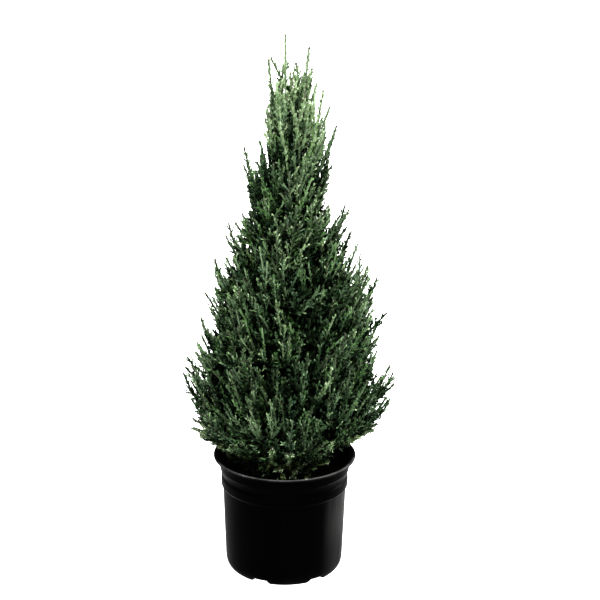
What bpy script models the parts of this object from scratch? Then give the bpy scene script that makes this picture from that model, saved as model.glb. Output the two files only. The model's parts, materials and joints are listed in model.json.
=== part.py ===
"""Upright juniper in a moulded nursery pot, built as separate closed solids.

Metres, +Z up. The origin is on the ground under the middle of the pot, and the front of the
plant faces -Y. Azimuths are in degrees round the pot's axis, from +X towards +Y.
"""

import math
import random
from dataclasses import dataclass

import bmesh
import bpy
import numpy as np

SEAT_GAP = 0.0003  # clearance where one piece rests on another

# Pot: a thin turned shell with a flared lip, a neck, a raised band and six feet
RIM_RADIUS = 0.150
POT_HEIGHT = 0.2515
WALL_THICKNESS = 0.0022
LIP_CREST_WIDTH = 0.0015
LIP_BEAD = 0.0050
LIP_ROOT = 0.0095
LIP_THROAT = 0.0035
NECK_RADIUS = 0.1372
NECK_TOP = 0.2370
NECK_FOOT = 0.2205
NECK_TAPER = 0.0006
GROOVE_RADIUS = 0.1318
GROOVE_HEIGHT = 0.2080
GROOVE_WIDTH = 0.0030
BAND_RADIUS = 0.1343
BAND_TOP = 0.2015
BAND_FOOT = 0.1860
STEP_HEIGHT = 0.1800
WALL_TOP_RADIUS = 0.1302
WALL_FOOT_RADIUS = 0.1248
CORNER_HEIGHT = 0.0235
FOOT_RADIUS = 0.112
FOOT_INNER_RADIUS = 0.090
FOOT_INNER_SLOPE = 0.004
NOTCH_HEIGHT = 0.011
FLOOR_HEIGHT = 0.0135
FLOOR_EDGE_RADIUS = 0.115
CORNER_STEPS = 3

# Feet, and the drain hole in the notch between each two
FOOT_COUNT = 6
FOOT_SPAN = 41.0
FIRST_FOOT_AZIMUTH = 275.0
FOOT_EDGE = 1.0
HOLE_INSET = 4.0
HOLE_INNER_RADIUS = 0.094
HOLE_OUTER_RADIUS = 0.107
FOOT_DIVISIONS = 4

# Potting mix: a plug that fills the pot to a little below its lip
MIX_GAP = 0.0004
MIX_TOP = 0.2225
MIX_EDGE_TOP = 0.2185
MIX_SEAT_RADIUS = 0.030
MIX_RINGS = (0.100, 0.065)
MIX_ROUGHNESS = 0.002

# Trunk: from its flat cut on the mix up to where the leader's needles close round it
TRUNK_FOOT = MIX_TOP + SEAT_GAP
TRUNK_TOP = 0.930
TRUNK_FOOT_RADIUS = 0.0135
TRUNK_TOP_RADIUS = 0.0022
TRUNK_TAPER_POWER = 0.9
TRUNK_FOOT_XY = (0.003, 0.004)
TRUNK_TOP_XY = (-0.003, 0.001)
TRUNK_SWAY = 0.003
TRUNK_SWAYS = 1.6
FLARE = 0.0075
FLARE_HEIGHT = 0.014
FLARE_LOBES = 3
FLARE_LOBE_SHARE = 0.45
TRUNK_SIDES = 12
FLARE_RINGS = (0.0, 0.006, 0.014, 0.028)
TRUNK_RING_PITCH = 0.090

# Bare inner zone round the trunk: the boughs cross it, the needles stay outside it
CORE_FOOT_RADIUS = 0.052
CORE_TOP_RADIUS = 0.0085

# Boughs
BOUGH_SIDES = 6
BOUGH_RINGS = 3
BOUGH_END_SHARE = 0.62

# Masses of needles
MASS_SIDES = 10
RING_PLACES = (0.0, 0.05, 0.16, 0.30, 0.45, 0.60, 0.74, 0.88)
CAP_SHARE = 0.13
WIDEST_SHARE = 0.26
SWELL_POWER = 0.6
TAPER_POWER = 0.80
PLUME_REACH = 0.15
PLUME_RISE = 0.45
UNEVENNESS = 0.12
TERRITORY_GAP = 0.005
MARCH_STEPS = 40
SPINE_SAMPLES = 22
SPINE_ENDS = (0.06, 0.98)
SIDE_SWAY = 0.07
CORE_CLEARANCE = 0.003
LEAST_RADIUS = 0.06
NEEDLE_ROUGHNESS = 0.7
NEEDLE_SHARP_ANGLE = 80.0
NEARLY_UPRIGHT = 0.05  # sine of the angle to the vertical below which a heading counts as upright
PLACE_STEP = 0.002  # pace, as a share of a limb's length, at which places are searched

# Space kept free over the mix, the pot's wall and the lip
LOW_CLEARANCE = 0.0055
LIP_CLEARANCE = 0.012
WELL_RADIUS = 0.095
LIP_TURN_RADIUS = 0.124
SKIRT_TURN_RADIUS = 0.155
SKIRT_EDGE = (0.205, 0.330)

# The crown's outline, as (height, reach to the left, reach to the right)
CROWN_OUTLINE = (
    (0.250, 0.138, 0.138),
    (0.300, 0.184, 0.172),
    (0.340, 0.190, 0.200),
    (0.390, 0.200, 0.213),
    (0.440, 0.200, 0.213),
    (0.475, 0.188, 0.200),
    (0.510, 0.162, 0.190),
    (0.600, 0.158, 0.172),
    (0.645, 0.130, 0.156),
    (0.700, 0.112, 0.135),
    (0.750, 0.098, 0.118),
    (0.790, 0.066, 0.078),
    (0.890, 0.072, 0.076),
    (0.930, 0.044, 0.084),
    (0.985, 0.034, 0.066),
    (1.040, 0.028, 0.046),
    (1.100, 0.012, 0.020),
)
TIP_ALLOWANCE = 0.020
TIP_ALLOWANCE_START = 0.65
TIP_SPREAD = 0.20

SEED = 11


@dataclass(frozen=True)
class Look:
    """A surface: its colour, its roughness, and the angle in degrees above which edges stay sharp."""

    colour: tuple
    roughness: float
    sharp_angle: float


@dataclass(frozen=True)
class Tip:
    """Where a limb ends: its azimuth, its distance from the pot's axis and its height."""

    azimuth: float
    reach: float
    height: float


@dataclass(frozen=True)
class Tier:
    """A storey of limbs that leave the trunk at like heights.

    rise is how far a tip stands above the limb's own foot, girth the masses' greatest
    radius, and bow how far out the limb runs before it turns up.
    """

    name: str
    rise: float
    girth: float
    bow: float
    bough_radius: float
    colour: tuple
    tips: tuple


POT_LOOK = Look((0.012, 0.012, 0.012), 0.35, 35.0)
MIX_LOOK = Look((0.035, 0.025, 0.018), 0.90, 50.0)
TRUNK_LOOK = Look((0.100, 0.060, 0.040), 0.85, 50.0)
BOUGH_LOOK = Look((0.120, 0.070, 0.045), 0.85, 50.0)

LEADER = Tier("leader", 0.192, 0.030, 0.0, 0.0, (0.135, 0.20, 0.09), (Tip(180.0, 0.004, 1.122),))

TIERS = (
    Tier("top", 0.190, 0.038, 0.72, 0.0018, (0.115, 0.18, 0.08), (
        Tip(337.0, 0.046, 1.100),
        Tip(163.0, 0.038, 1.073),
        Tip(10.0, 0.072, 1.012),
    )),
    Tier("spire", 0.165, 0.058, 0.74, 0.0022, (0.09, 0.15, 0.07), (
        Tip(327.0, 0.114, 0.955),
        Tip(100.0, 0.082, 0.968),
        Tip(212.0, 0.098, 0.911),
    )),
    Tier("neck", 0.170, 0.064, 0.74, 0.0027, (0.075, 0.13, 0.06), (
        Tip(36.0, 0.106, 0.865),
        Tip(158.0, 0.080, 0.850),
        Tip(273.0, 0.092, 0.872),
    )),
    Tier("shoulder", 0.170, 0.080, 0.76, 0.0032, (0.065, 0.11, 0.055), (
        Tip(4.0, 0.119, 0.785),
        Tip(98.0, 0.122, 0.775),
        Tip(183.0, 0.116, 0.748),
        Tip(262.0, 0.124, 0.765),
    )),
    Tier("upper", 0.185, 0.104, 0.78, 0.0040, (0.06, 0.10, 0.05), (
        Tip(331.0, 0.184, 0.684),
        Tip(52.0, 0.165, 0.690),
        Tip(146.0, 0.180, 0.645),
        Tip(236.0, 0.170, 0.662),
    )),
    Tier("middle", 0.185, 0.118, 0.80, 0.0046, (0.055, 0.09, 0.045), (
        Tip(15.0, 0.196, 0.622),
        Tip(92.0, 0.200, 0.555),
        Tip(178.0, 0.175, 0.548),
        Tip(246.0, 0.200, 0.530),
        Tip(306.0, 0.198, 0.565),
    )),
    Tier("skirt", 0.165, 0.105, 0.78, 0.0050, (0.045, 0.08, 0.04), (
        Tip(347.0, 0.225, 0.446),
        Tip(38.0, 0.222, 0.420),
        Tip(98.0, 0.218, 0.440),
        Tip(170.0, 0.217, 0.412),
        Tip(222.0, 0.217, 0.405),
        Tip(284.0, 0.216, 0.425),
    )),
)


@dataclass
class Limb:
    """One limb of the plant: the curve of its wood, and where its mass of needles begins."""

    name: str
    tier: Tier
    foot: np.ndarray
    bend: np.ndarray
    tip: np.ndarray
    start: float

    def point(self, place):
        """Return the point of the limb's quadratic curve at a place from 0 to 1."""
        rest = 1.0 - place
        return rest * rest * self.foot + 2.0 * rest * place * self.bend + place * place * self.tip

    def heading(self, place):
        """Return the unit direction of the limb at a place."""
        slope = (1.0 - place) * (self.bend - self.foot) + place * (self.tip - self.bend)
        return slope / np.linalg.norm(slope)


def clear_scene():
    """Remove everything that the file holds."""
    for item in list(bpy.data.objects):
        bpy.data.objects.remove(item, do_unlink=True)


def paint(item, look):
    """Give an object a material of its own."""
    material = bpy.data.materials.new(item.name)
    material.use_nodes = True
    shader = material.node_tree.nodes["Principled BSDF"]
    shader.inputs["Base Color"].default_value = (*look.colour, 1.0)
    shader.inputs["Roughness"].default_value = look.roughness
    item.data.materials.append(material)


def add_solid(name, points, faces, look):
    """Make an object from points and faces, with its faces turned outwards."""
    mesh = bpy.data.meshes.new(name)
    mesh.from_pydata([tuple(map(float, point)) for point in points], [], faces)
    work = bmesh.new()
    work.from_mesh(mesh)
    bmesh.ops.recalc_face_normals(work, faces=work.faces)
    work.to_mesh(mesh)
    work.free()
    mesh.shade_smooth()
    mesh.set_sharp_from_angle(angle=math.radians(look.sharp_angle))
    item = bpy.data.objects.new(name, mesh)
    bpy.context.scene.collection.objects.link(item)
    paint(item, look)


def band_faces(lower, upper):
    """Return the quads between two closed rings of point numbers."""
    count = len(lower)
    return [
        (lower[k], lower[(k + 1) % count], upper[(k + 1) % count], upper[k]) for k in range(count)
    ]


def fan_faces(ring, centre):
    """Return the triangles that close a ring at one point."""
    count = len(ring)
    return [(ring[k], ring[(k + 1) % count], centre) for k in range(count)]


def loft(rings, first_end, last_end):
    """Join rings of equal count into one closed surface, each end closed at a point."""
    points = [point for ring in rings for point in ring]
    sides = len(rings[0])
    numbers = [list(range(k * sides, (k + 1) * sides)) for k in range(len(rings))]
    faces = []
    for lower, upper in zip(numbers, numbers[1:]):
        faces += band_faces(lower, upper)
    faces += fan_faces(numbers[0], len(points))
    faces += fan_faces(numbers[-1], len(points) + 1)
    return points + [first_end, last_end], faces


# ---------------------------------------------------------------- pot and mix


def pot_columns():
    """Return each column's azimuth and whether it stands on a foot or over a notch."""
    pitch = 360.0 / FOOT_COUNT
    half = FOOT_SPAN / 2.0
    columns = []
    for foot in range(FOOT_COUNT):
        centre = FIRST_FOOT_AZIMUTH + foot * pitch
        for k in range(FOOT_DIVISIONS + 1):
            columns.append((centre - half + FOOT_SPAN * k / FOOT_DIVISIONS, True))
        notch = (half + FOOT_EDGE, half + FOOT_EDGE + HOLE_INSET)
        far_notch = (pitch - notch[1], pitch - notch[0])
        columns += [(centre + offset, False) for offset in notch + far_notch]
    return columns


def corner_outline(on_foot):
    """Return the outer corner from the wall's foot to the underside, as (radius, height).

    The corner is a quarter of an ellipse, which a notch cuts off at its own ceiling.
    """
    width = WALL_FOOT_RADIUS - FOOT_RADIUS
    under = 0.0 if on_foot else NOTCH_HEIGHT
    outline = []
    for k in range(CORNER_STEPS + 1):
        turn = math.radians(90.0) * k / CORNER_STEPS
        radius = FOOT_RADIUS + width * math.cos(turn)
        outline.append((radius, max(under, CORNER_HEIGHT * (1.0 - math.sin(turn)))))
    radii = (HOLE_OUTER_RADIUS, HOLE_INNER_RADIUS, FOOT_INNER_RADIUS)
    return outline + [(radius, under) for radius in radii]


def outer_outline(on_foot):
    """Return the pot's outer side from the crest of its lip to the underside of its floor."""
    lip_root = POT_HEIGHT - LIP_ROOT
    outline = [
        (RIM_RADIUS - LIP_CREST_WIDTH, POT_HEIGHT),
        (RIM_RADIUS, POT_HEIGHT - LIP_BEAD / 2.0),
        (RIM_RADIUS - LIP_CREST_WIDTH, POT_HEIGHT - LIP_BEAD),
        (NECK_RADIUS + LIP_CREST_WIDTH, lip_root),
        (NECK_RADIUS, NECK_TOP),
        (NECK_RADIUS - NECK_TAPER, NECK_FOOT),
        (GROOVE_RADIUS, GROOVE_HEIGHT + GROOVE_WIDTH / 2.0),
        (GROOVE_RADIUS, GROOVE_HEIGHT - GROOVE_WIDTH / 2.0),
        (BAND_RADIUS, BAND_TOP),
        (BAND_RADIUS, BAND_FOOT),
        (WALL_TOP_RADIUS, STEP_HEIGHT),
    ]
    inner_floor = (FOOT_INNER_RADIUS - FOOT_INNER_SLOPE, NOTCH_HEIGHT)
    return outline + corner_outline(on_foot) + [inner_floor]


def inner_outline():
    """Return the pot's inner side from its floor up to the throat of the lip."""
    return [
        (HOLE_INNER_RADIUS, FLOOR_HEIGHT),
        (HOLE_OUTER_RADIUS, FLOOR_HEIGHT),
        (FLOOR_EDGE_RADIUS, FLOOR_HEIGHT),
        (WALL_FOOT_RADIUS - WALL_THICKNESS, CORNER_HEIGHT + WALL_THICKNESS),
        (WALL_TOP_RADIUS - WALL_THICKNESS, STEP_HEIGHT),
        (GROOVE_RADIUS - WALL_THICKNESS, GROOVE_HEIGHT),
        (NECK_RADIUS - NECK_TAPER - WALL_THICKNESS, NECK_FOOT),
        (NECK_RADIUS - WALL_THICKNESS, POT_HEIGHT - LIP_ROOT),
        (NECK_RADIUS + LIP_CREST_WIDTH, POT_HEIGHT - LIP_THROAT),
    ]


def turned(outline, azimuth):
    """Return an outline's points at one azimuth."""
    turn = math.radians(azimuth)
    return [(r * math.cos(turn), r * math.sin(turn), h) for r, h in outline]


def is_hole(columns, column):
    """Tell whether the span after a column is the middle one of a notch."""
    count = len(columns)
    return not any(columns[(column + step) % count][1] for step in (-1, 0, 1, 2))


def hole_faces(numbers, ring, column):
    """Return the sides of a drain hole, from the floor's own ring down to its underside's."""
    after = (column + 1) % len(numbers[0])
    floor = (numbers[0][column], numbers[0][after], numbers[1][after], numbers[1][column])
    under = (
        numbers[ring + 1][column],
        numbers[ring + 1][after],
        numbers[ring][after],
        numbers[ring][column],
    )
    return band_faces(floor, under)


def build_pot():
    """Build the pot's shell, with a drain hole through the floor in each notch."""
    columns = pot_columns()
    count = len(columns)
    grid = [turned(inner_outline() + outer_outline(foot), azimuth) for azimuth, foot in columns]
    rings = len(grid[0])
    points = [column[ring] for ring in range(rings) for column in grid]
    numbers = [list(range(ring * count, (ring + 1) * count)) for ring in range(rings)]
    under_hole = rings - 4
    holes = {column for column in range(count) if is_hole(columns, column)}
    faces = []
    for ring in range(rings - 1):
        pierced = holes if ring in (0, under_hole) else ()
        band = band_faces(numbers[ring], numbers[ring + 1])
        faces += [face for column, face in enumerate(band) if column not in pierced]
    for column in sorted(holes):
        faces += hole_faces(numbers, under_hole, column)
    faces += fan_faces(numbers[0], len(points))
    faces += fan_faces(numbers[-1], len(points) + 1)
    points += [(0.0, 0.0, FLOOR_HEIGHT), (0.0, 0.0, NOTCH_HEIGHT)]
    add_solid("pot", points, faces, POT_LOOK)


def build_mix(chance):
    """Build the plug of potting mix, a little rough on top, with a flat seat for the trunk."""
    azimuths = [azimuth for azimuth, _ in pot_columns()]
    floor_edge, *wall, neck = inner_outline()[2:7]
    wall_radii, wall_heights = zip(*wall, neck)
    edge = (float(np.interp(MIX_EDGE_TOP, wall_heights, wall_radii)), MIX_EDGE_TOP)
    side = [(floor_edge[0], FLOOR_HEIGHT + MIX_GAP), *wall, edge]
    outlines = [[(radius - MIX_GAP, height)] * len(azimuths) for radius, height in side]
    for radius in MIX_RINGS:
        height = np.interp(radius, (MIX_SEAT_RADIUS, edge[0]), (MIX_TOP, MIX_EDGE_TOP))
        rough = [chance.uniform(-MIX_ROUGHNESS, MIX_ROUGHNESS) for _ in azimuths]
        outlines.append([(radius, height + lift) for lift in rough])
    outlines.append([(MIX_SEAT_RADIUS, MIX_TOP)] * len(azimuths))
    rings = [
        [turned([spot], azimuth)[0] for spot, azimuth in zip(outline, azimuths)]
        for outline in outlines
    ]
    points, faces = loft(rings, (0.0, 0.0, FLOOR_HEIGHT + MIX_GAP), (0.0, 0.0, MIX_TOP))
    add_solid("potting_mix", points, faces, MIX_LOOK)


# ---------------------------------------------------------------- trunk


def trunk_heights():
    """Return the heights of the trunk's rings, close together in the root flare."""
    low = [TRUNK_FOOT + step for step in FLARE_RINGS]
    count = math.ceil((TRUNK_TOP - low[-1]) / TRUNK_RING_PITCH)
    pitch = (TRUNK_TOP - low[-1]) / count
    return np.array(low + [low[-1] + pitch * (k + 1) for k in range(count)])


def smooth_trunk_axis(height):
    """Return the trunk's centre at a height: a slight lean and a slight double bend."""
    share = (height - TRUNK_FOOT) / (TRUNK_TOP - TRUNK_FOOT)
    sway = TRUNK_SWAY * np.sin(math.tau * TRUNK_SWAYS * share) * share * (1.0 - share) * 4.0
    x = TRUNK_FOOT_XY[0] + share * (TRUNK_TOP_XY[0] - TRUNK_FOOT_XY[0]) + sway
    y = TRUNK_FOOT_XY[1] + share * (TRUNK_TOP_XY[1] - TRUNK_FOOT_XY[1]) - sway
    return x, y


def trunk_axis(height):
    """Return the trunk's centre at a height, straight from ring to ring as it is built."""
    heights = trunk_heights()
    x, y = smooth_trunk_axis(heights)
    return np.interp(height, heights, x), np.interp(height, heights, y)


def smooth_trunk_radius(height, turn):
    """Return the trunk's radius at a height and angle: an even taper, and root lobes below."""
    share = (height - TRUNK_FOOT) / (TRUNK_TOP - TRUNK_FOOT)
    taper = TRUNK_TOP_RADIUS + (TRUNK_FOOT_RADIUS - TRUNK_TOP_RADIUS) * (1.0 - share) ** TRUNK_TAPER_POWER
    lobe = 1.0 + FLARE_LOBE_SHARE * np.cos(FLARE_LOBES * turn)
    return taper + FLARE * lobe * np.exp(-(height - TRUNK_FOOT) / FLARE_HEIGHT)


def trunk_radius(height, turn):
    """Return the trunk's radius at a height, straight from ring to ring as it is built."""
    heights = trunk_heights()
    return np.interp(height, heights, smooth_trunk_radius(heights, turn))


def build_trunk():
    """Build the trunk from its flat cut to its tip, with its lean, taper and root flare."""
    rings = []
    for height in trunk_heights():
        x, y = trunk_axis(height)
        ring = []
        for k in range(TRUNK_SIDES):
            turn = math.tau * k / TRUNK_SIDES
            radius = trunk_radius(height, turn)
            ring.append((x + radius * math.cos(turn), y + radius * math.sin(turn), height))
        rings.append(ring)
    foot = (*trunk_axis(TRUNK_FOOT), TRUNK_FOOT)
    top = (*trunk_axis(TRUNK_TOP), TRUNK_TOP)
    points, faces = loft(rings, foot, top)
    add_solid("trunk", points, faces, TRUNK_LOOK)


def core_radius(height):
    """Return the radius of the bare zone round the trunk at a height."""
    share = np.clip((height - TRUNK_FOOT) / (TRUNK_TOP - TRUNK_FOOT), 0.0, 1.0)
    return CORE_FOOT_RADIUS + share * (CORE_TOP_RADIUS - CORE_FOOT_RADIUS)


# ---------------------------------------------------------------- limbs


def tip_point(tip):
    """Return a limb's tip as a point."""
    turn = math.radians(tip.azimuth)
    return np.array((tip.reach * math.cos(turn), tip.reach * math.sin(turn), tip.height))


def plan_limb(tier, number, tip, chance):
    """Lay out one limb from the trunk's middle to its tip, and find where its mass begins."""
    end = tip_point(tip)
    foot_height = tip.height - tier.rise
    foot = np.array((*trunk_axis(foot_height), foot_height))
    outward = end - foot
    outward[2] = 0.0
    sideways = np.array((-outward[1], outward[0], 0.0)) * chance.uniform(-SIDE_SWAY, SIDE_SWAY)
    bend = foot + outward * tier.bow + sideways
    bend[2] = foot_height + tier.rise * (1.0 - tier.bow)
    limb = Limb(f"{tier.name}_{number}", tier, foot, bend, end, 0.0)
    while bare_depth(limb.point(limb.start)) < 0.0:
        limb.start += PLACE_STEP
    return limb


def plan_leader():
    """Lay out the leader, which stands on the trunk's tip."""
    foot = np.array((*trunk_axis(TRUNK_TOP), TRUNK_TOP))
    end = tip_point(LEADER.tips[0])
    return Limb("leader", LEADER, foot, (foot + end) / 2.0, end, 0.0)


def bare_depth(point):
    """Return how far a point lies outside the bare zone round the trunk."""
    x, y = trunk_axis(point[2])
    return math.hypot(point[0] - x, point[1] - y) - core_radius(point[2])


def side_axes(heading):
    """Return two unit directions square to a heading, the second as near upright as it goes."""
    level = np.cross((0.0, 0.0, 1.0), heading)
    if np.linalg.norm(level) < NEARLY_UPRIGHT:
        level = np.array((1.0, 0.0, 0.0))
        level = level - heading * (level @ heading)
    level /= np.linalg.norm(level)
    return level, np.cross(heading, level)


def build_bough(limb):
    """Build a bough from the trunk's face to just short of its mass, tapering all the way."""
    tier = limb.tier
    inside = 0.0
    while surface_depth(limb.point(inside)) < tier.bough_radius:
        inside += PLACE_STEP
    places = np.linspace(inside, limb.start, BOUGH_RINGS)
    rings = []
    for number, place in enumerate(places):
        level, upright = side_axes(limb.heading(place))
        share = number / (BOUGH_RINGS - 1)
        radius = tier.bough_radius * (1.0 - share * (1.0 - BOUGH_END_SHARE))
        centre = limb.point(place)
        ring = []
        for k in range(BOUGH_SIDES):
            turn = math.tau * k / BOUGH_SIDES
            point = centre + radius * (math.cos(turn) * level + math.sin(turn) * upright)
            ring.append(onto_trunk(point) if number == 0 else point)
        rings.append(ring)
    foot = onto_trunk(np.mean(rings[0], axis=0))
    points, faces = loft(rings, foot, limb.point(limb.start))
    add_solid(f"bough_{limb.name}", points, faces, BOUGH_LOOK)


def surface_depth(point):
    """Return how far a point lies outside the trunk's bark."""
    x, y = trunk_axis(point[2])
    turn = math.atan2(point[1] - y, point[0] - x)
    return math.hypot(point[0] - x, point[1] - y) - trunk_radius(point[2], turn)


def onto_trunk(point):
    """Return the point moved level with itself to the seat gap outside the trunk's bark."""
    x, y = trunk_axis(point[2])
    turn = math.atan2(point[1] - y, point[0] - x)
    radius = trunk_radius(point[2], turn) + SEAT_GAP
    return np.array((x + radius * math.cos(turn), y + radius * math.sin(turn), point[2]))


# ---------------------------------------------------------------- masses


def girth_at(tier, share):
    """Return a mass's radius at a share of its length: blunt within, long and thin outside."""
    swell = CAP_SHARE + (1.0 - CAP_SHARE) * min(1.0, share / WIDEST_SHARE) ** SWELL_POWER
    taper = min(1.0, (1.0 - share) / (1.0 - WIDEST_SHARE)) ** TAPER_POWER
    return tier.girth * swell * taper


def mass_place(limb, share):
    """Return the place on the limb's curve of a share of its mass's length."""
    gap = SEAT_GAP / np.linalg.norm(limb.tip - limb.foot)
    start = limb.start + gap
    return start + (1.0 - start) * share


def mass_samples(limb):
    """Return points along a mass's spine with the mass's radius at each."""
    shares = np.linspace(*SPINE_ENDS, SPINE_SAMPLES)
    spots = np.array([limb.point(mass_place(limb, share)) for share in shares])
    radii = np.array([girth_at(limb.tier, share) for share in shares])
    return spots, radii


def reach_of(points, samples):
    """Return each point's least distance to a mass's surface, negative inside it."""
    spots, radii = samples
    gaps = np.linalg.norm(points[:, None, :] - spots[None, :, :], axis=2)
    return (gaps - radii[None, :]).min(axis=1)


def lowest_needle(radius):
    """Return how low needles may hang at a radius: down in the pot, or over its lip."""
    well = MIX_TOP + LOW_CLEARANCE
    over_lip = POT_HEIGHT + LIP_CLEARANCE
    radii = (WELL_RADIUS, LIP_TURN_RADIUS, SKIRT_TURN_RADIUS, SKIRT_EDGE[0])
    return np.interp(radius, radii, (well, over_lip, over_lip, SKIRT_EDGE[1]))


def furthest_needle(points, share):
    """Return how far out needles may reach at points, a little further near a mass's tip."""
    heights, left, right = zip(*CROWN_OUTLINE)
    towards_right = 0.5 + 0.5 * np.cos(np.arctan2(points[:, 1], points[:, 0]))
    left = np.interp(points[:, 2], heights, left)
    right = np.interp(points[:, 2], heights, right)
    over = max(0.0, share - TIP_ALLOWANCE_START) / (1.0 - TIP_ALLOWANCE_START)
    return left + (right - left) * towards_right + TIP_ALLOWANCE * over


def is_free(points, furthest, own, others):
    """Tell for each point whether it lies in a mass's own territory, clear of wood and pot."""
    mine = reach_of(points, own)
    free = np.ones(len(points), bool)
    for other in others:
        free &= mine + TERRITORY_GAP <= reach_of(points, other)
    x, y = trunk_axis(points[:, 2])
    bare = np.hypot(points[:, 0] - x, points[:, 1] - y) - core_radius(points[:, 2])
    free &= (bare >= CORE_CLEARANCE) | (points[:, 2] > TRUNK_TOP + CORE_CLEARANCE)
    out = np.hypot(points[:, 0], points[:, 1])
    free &= points[:, 2] >= lowest_needle(out)
    free &= out <= furthest
    return free


def grow(centre, offset, share, own, others):
    """Return the furthest point from a spine towards an offset that the mass may fill.

    A mass may always close round its own spine, even where that leaves the crown's outline.
    """
    shares = np.linspace(0.0, 1.0, MARCH_STEPS + 1)[1:]
    points = centre[None, :] + shares[:, None] * offset[None, :]
    round_spine = math.hypot(centre[0], centre[1]) + TIP_SPREAD * np.linalg.norm(offset)
    furthest = np.maximum(furthest_needle(points, share), round_spine)
    blocked = np.flatnonzero(~is_free(points, furthest, own, others))
    reach = shares[-1] if len(blocked) == 0 else shares[max(blocked[0] - 1, 0)]
    return centre + max(reach, LEAST_RADIUS) * offset


def build_mass(limb, samples, chance):
    """Build one uneven mass of needles: rings of plume tips and hollows from cap to tip."""
    own = samples[limb.name]
    others = [samples[name] for name in samples if name != limb.name]
    length = np.linalg.norm(limb.tip - limb.point(mass_place(limb, 0.0)))
    rings = []
    for number, share in enumerate(RING_PLACES):
        place = mass_place(limb, share)
        centre = limb.point(place)
        heading = limb.heading(place)
        level, upright = side_axes(heading)
        radius = girth_at(limb.tier, share)
        ring = []
        for k in range(MASS_SIDES):
            turn = math.tau * (k + 0.5 * (number % 2)) / MASS_SIDES
            across = math.cos(turn) * level + math.sin(turn) * upright
            if number == 0:
                ring.append(centre + radius * across)
                continue
            plume = 1.0 if (k + number // 2) % 2 == 0 else -1.0
            uneven = 1.0 + PLUME_REACH * plume + chance.uniform(-UNEVENNESS, UNEVENNESS)
            rise = PLUME_RISE * (1.0 + plume) / 2.0 * ring_pitch(number) * length
            offset = radius * uneven * across + rise * heading
            ring.append(grow(centre, offset, share, own, others))
        rings.append(ring)
    points, faces = loft(rings, limb.point(mass_place(limb, 0.0)), limb.tip)
    look = Look(limb.tier.colour, NEEDLE_ROUGHNESS, NEEDLE_SHARP_ANGLE)
    add_solid(f"mass_{limb.name}", points, faces, look)


def ring_pitch(number):
    """Return the share of a mass's length between a ring and the next one."""
    places = RING_PLACES + (1.0,)
    return places[number + 1] - places[number]


def main():
    """Build the pot, its mix, the trunk, the boughs and the masses of needles."""
    clear_scene()
    chance = random.Random(SEED)
    build_pot()
    build_mix(chance)
    build_trunk()
    limbs = [
        plan_limb(tier, number + 1, tip, chance)
        for tier in TIERS
        for number, tip in enumerate(tier.tips)
    ]
    for limb in limbs:
        build_bough(limb)
    limbs.insert(0, plan_leader())
    samples = {limb.name: mass_samples(limb) for limb in limbs}
    for limb in limbs:
        build_mass(limb, samples, chance)


main()
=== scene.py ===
"""Looks of an upright juniper in a moulded nursery pot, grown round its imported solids.

Metres, +Z up, with the origin on the ground under the middle of the pot and the plant's
front towards -Y. Azimuths are in degrees round the pot's axis, from +X towards +Y.
"""

from __future__ import annotations

import json
import logging
import math
from collections.abc import Sequence
from dataclasses import dataclass, field
from enum import Enum, IntEnum

import bpy
import numpy as np
from mathutils.bvhtree import BVHTree
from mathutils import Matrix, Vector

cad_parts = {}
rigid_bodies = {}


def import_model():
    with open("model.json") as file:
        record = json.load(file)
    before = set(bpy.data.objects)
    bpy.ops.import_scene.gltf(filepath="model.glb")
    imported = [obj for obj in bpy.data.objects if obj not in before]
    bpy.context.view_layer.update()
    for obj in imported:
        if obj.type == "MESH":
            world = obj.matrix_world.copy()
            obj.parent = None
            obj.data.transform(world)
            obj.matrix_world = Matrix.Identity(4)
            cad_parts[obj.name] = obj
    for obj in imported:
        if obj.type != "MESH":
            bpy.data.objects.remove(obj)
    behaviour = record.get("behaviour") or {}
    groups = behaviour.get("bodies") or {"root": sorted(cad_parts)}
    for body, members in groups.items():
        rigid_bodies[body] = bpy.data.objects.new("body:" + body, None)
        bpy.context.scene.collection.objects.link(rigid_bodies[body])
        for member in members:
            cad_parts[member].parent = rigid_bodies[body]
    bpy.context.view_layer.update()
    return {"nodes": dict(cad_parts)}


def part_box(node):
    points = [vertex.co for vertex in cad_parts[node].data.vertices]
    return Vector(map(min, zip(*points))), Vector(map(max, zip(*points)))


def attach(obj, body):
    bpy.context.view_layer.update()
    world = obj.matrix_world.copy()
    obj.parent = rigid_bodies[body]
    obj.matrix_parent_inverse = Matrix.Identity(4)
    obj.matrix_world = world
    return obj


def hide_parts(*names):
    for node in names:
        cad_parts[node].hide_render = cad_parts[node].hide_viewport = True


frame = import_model()

LOG = logging.getLogger("juniper")
BODY = "root"
SEED = 20
MIX_STREAM = 99  # the compost's own stream of random numbers, besides those of the tiers
UP = np.array((0.0, 0.0, 1.0))
LEVEL = np.array((1.0, 1.0, 0.0))

Pair = tuple[float, float]
Edges = tuple[float, float, float, float]
Triple = tuple[float, float, float]
Colour = Triple
Array = np.ndarray
Chance = np.random.Generator
Material = bpy.types.Material
Piece = bpy.types.Object


# ---- shader recipes


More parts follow.
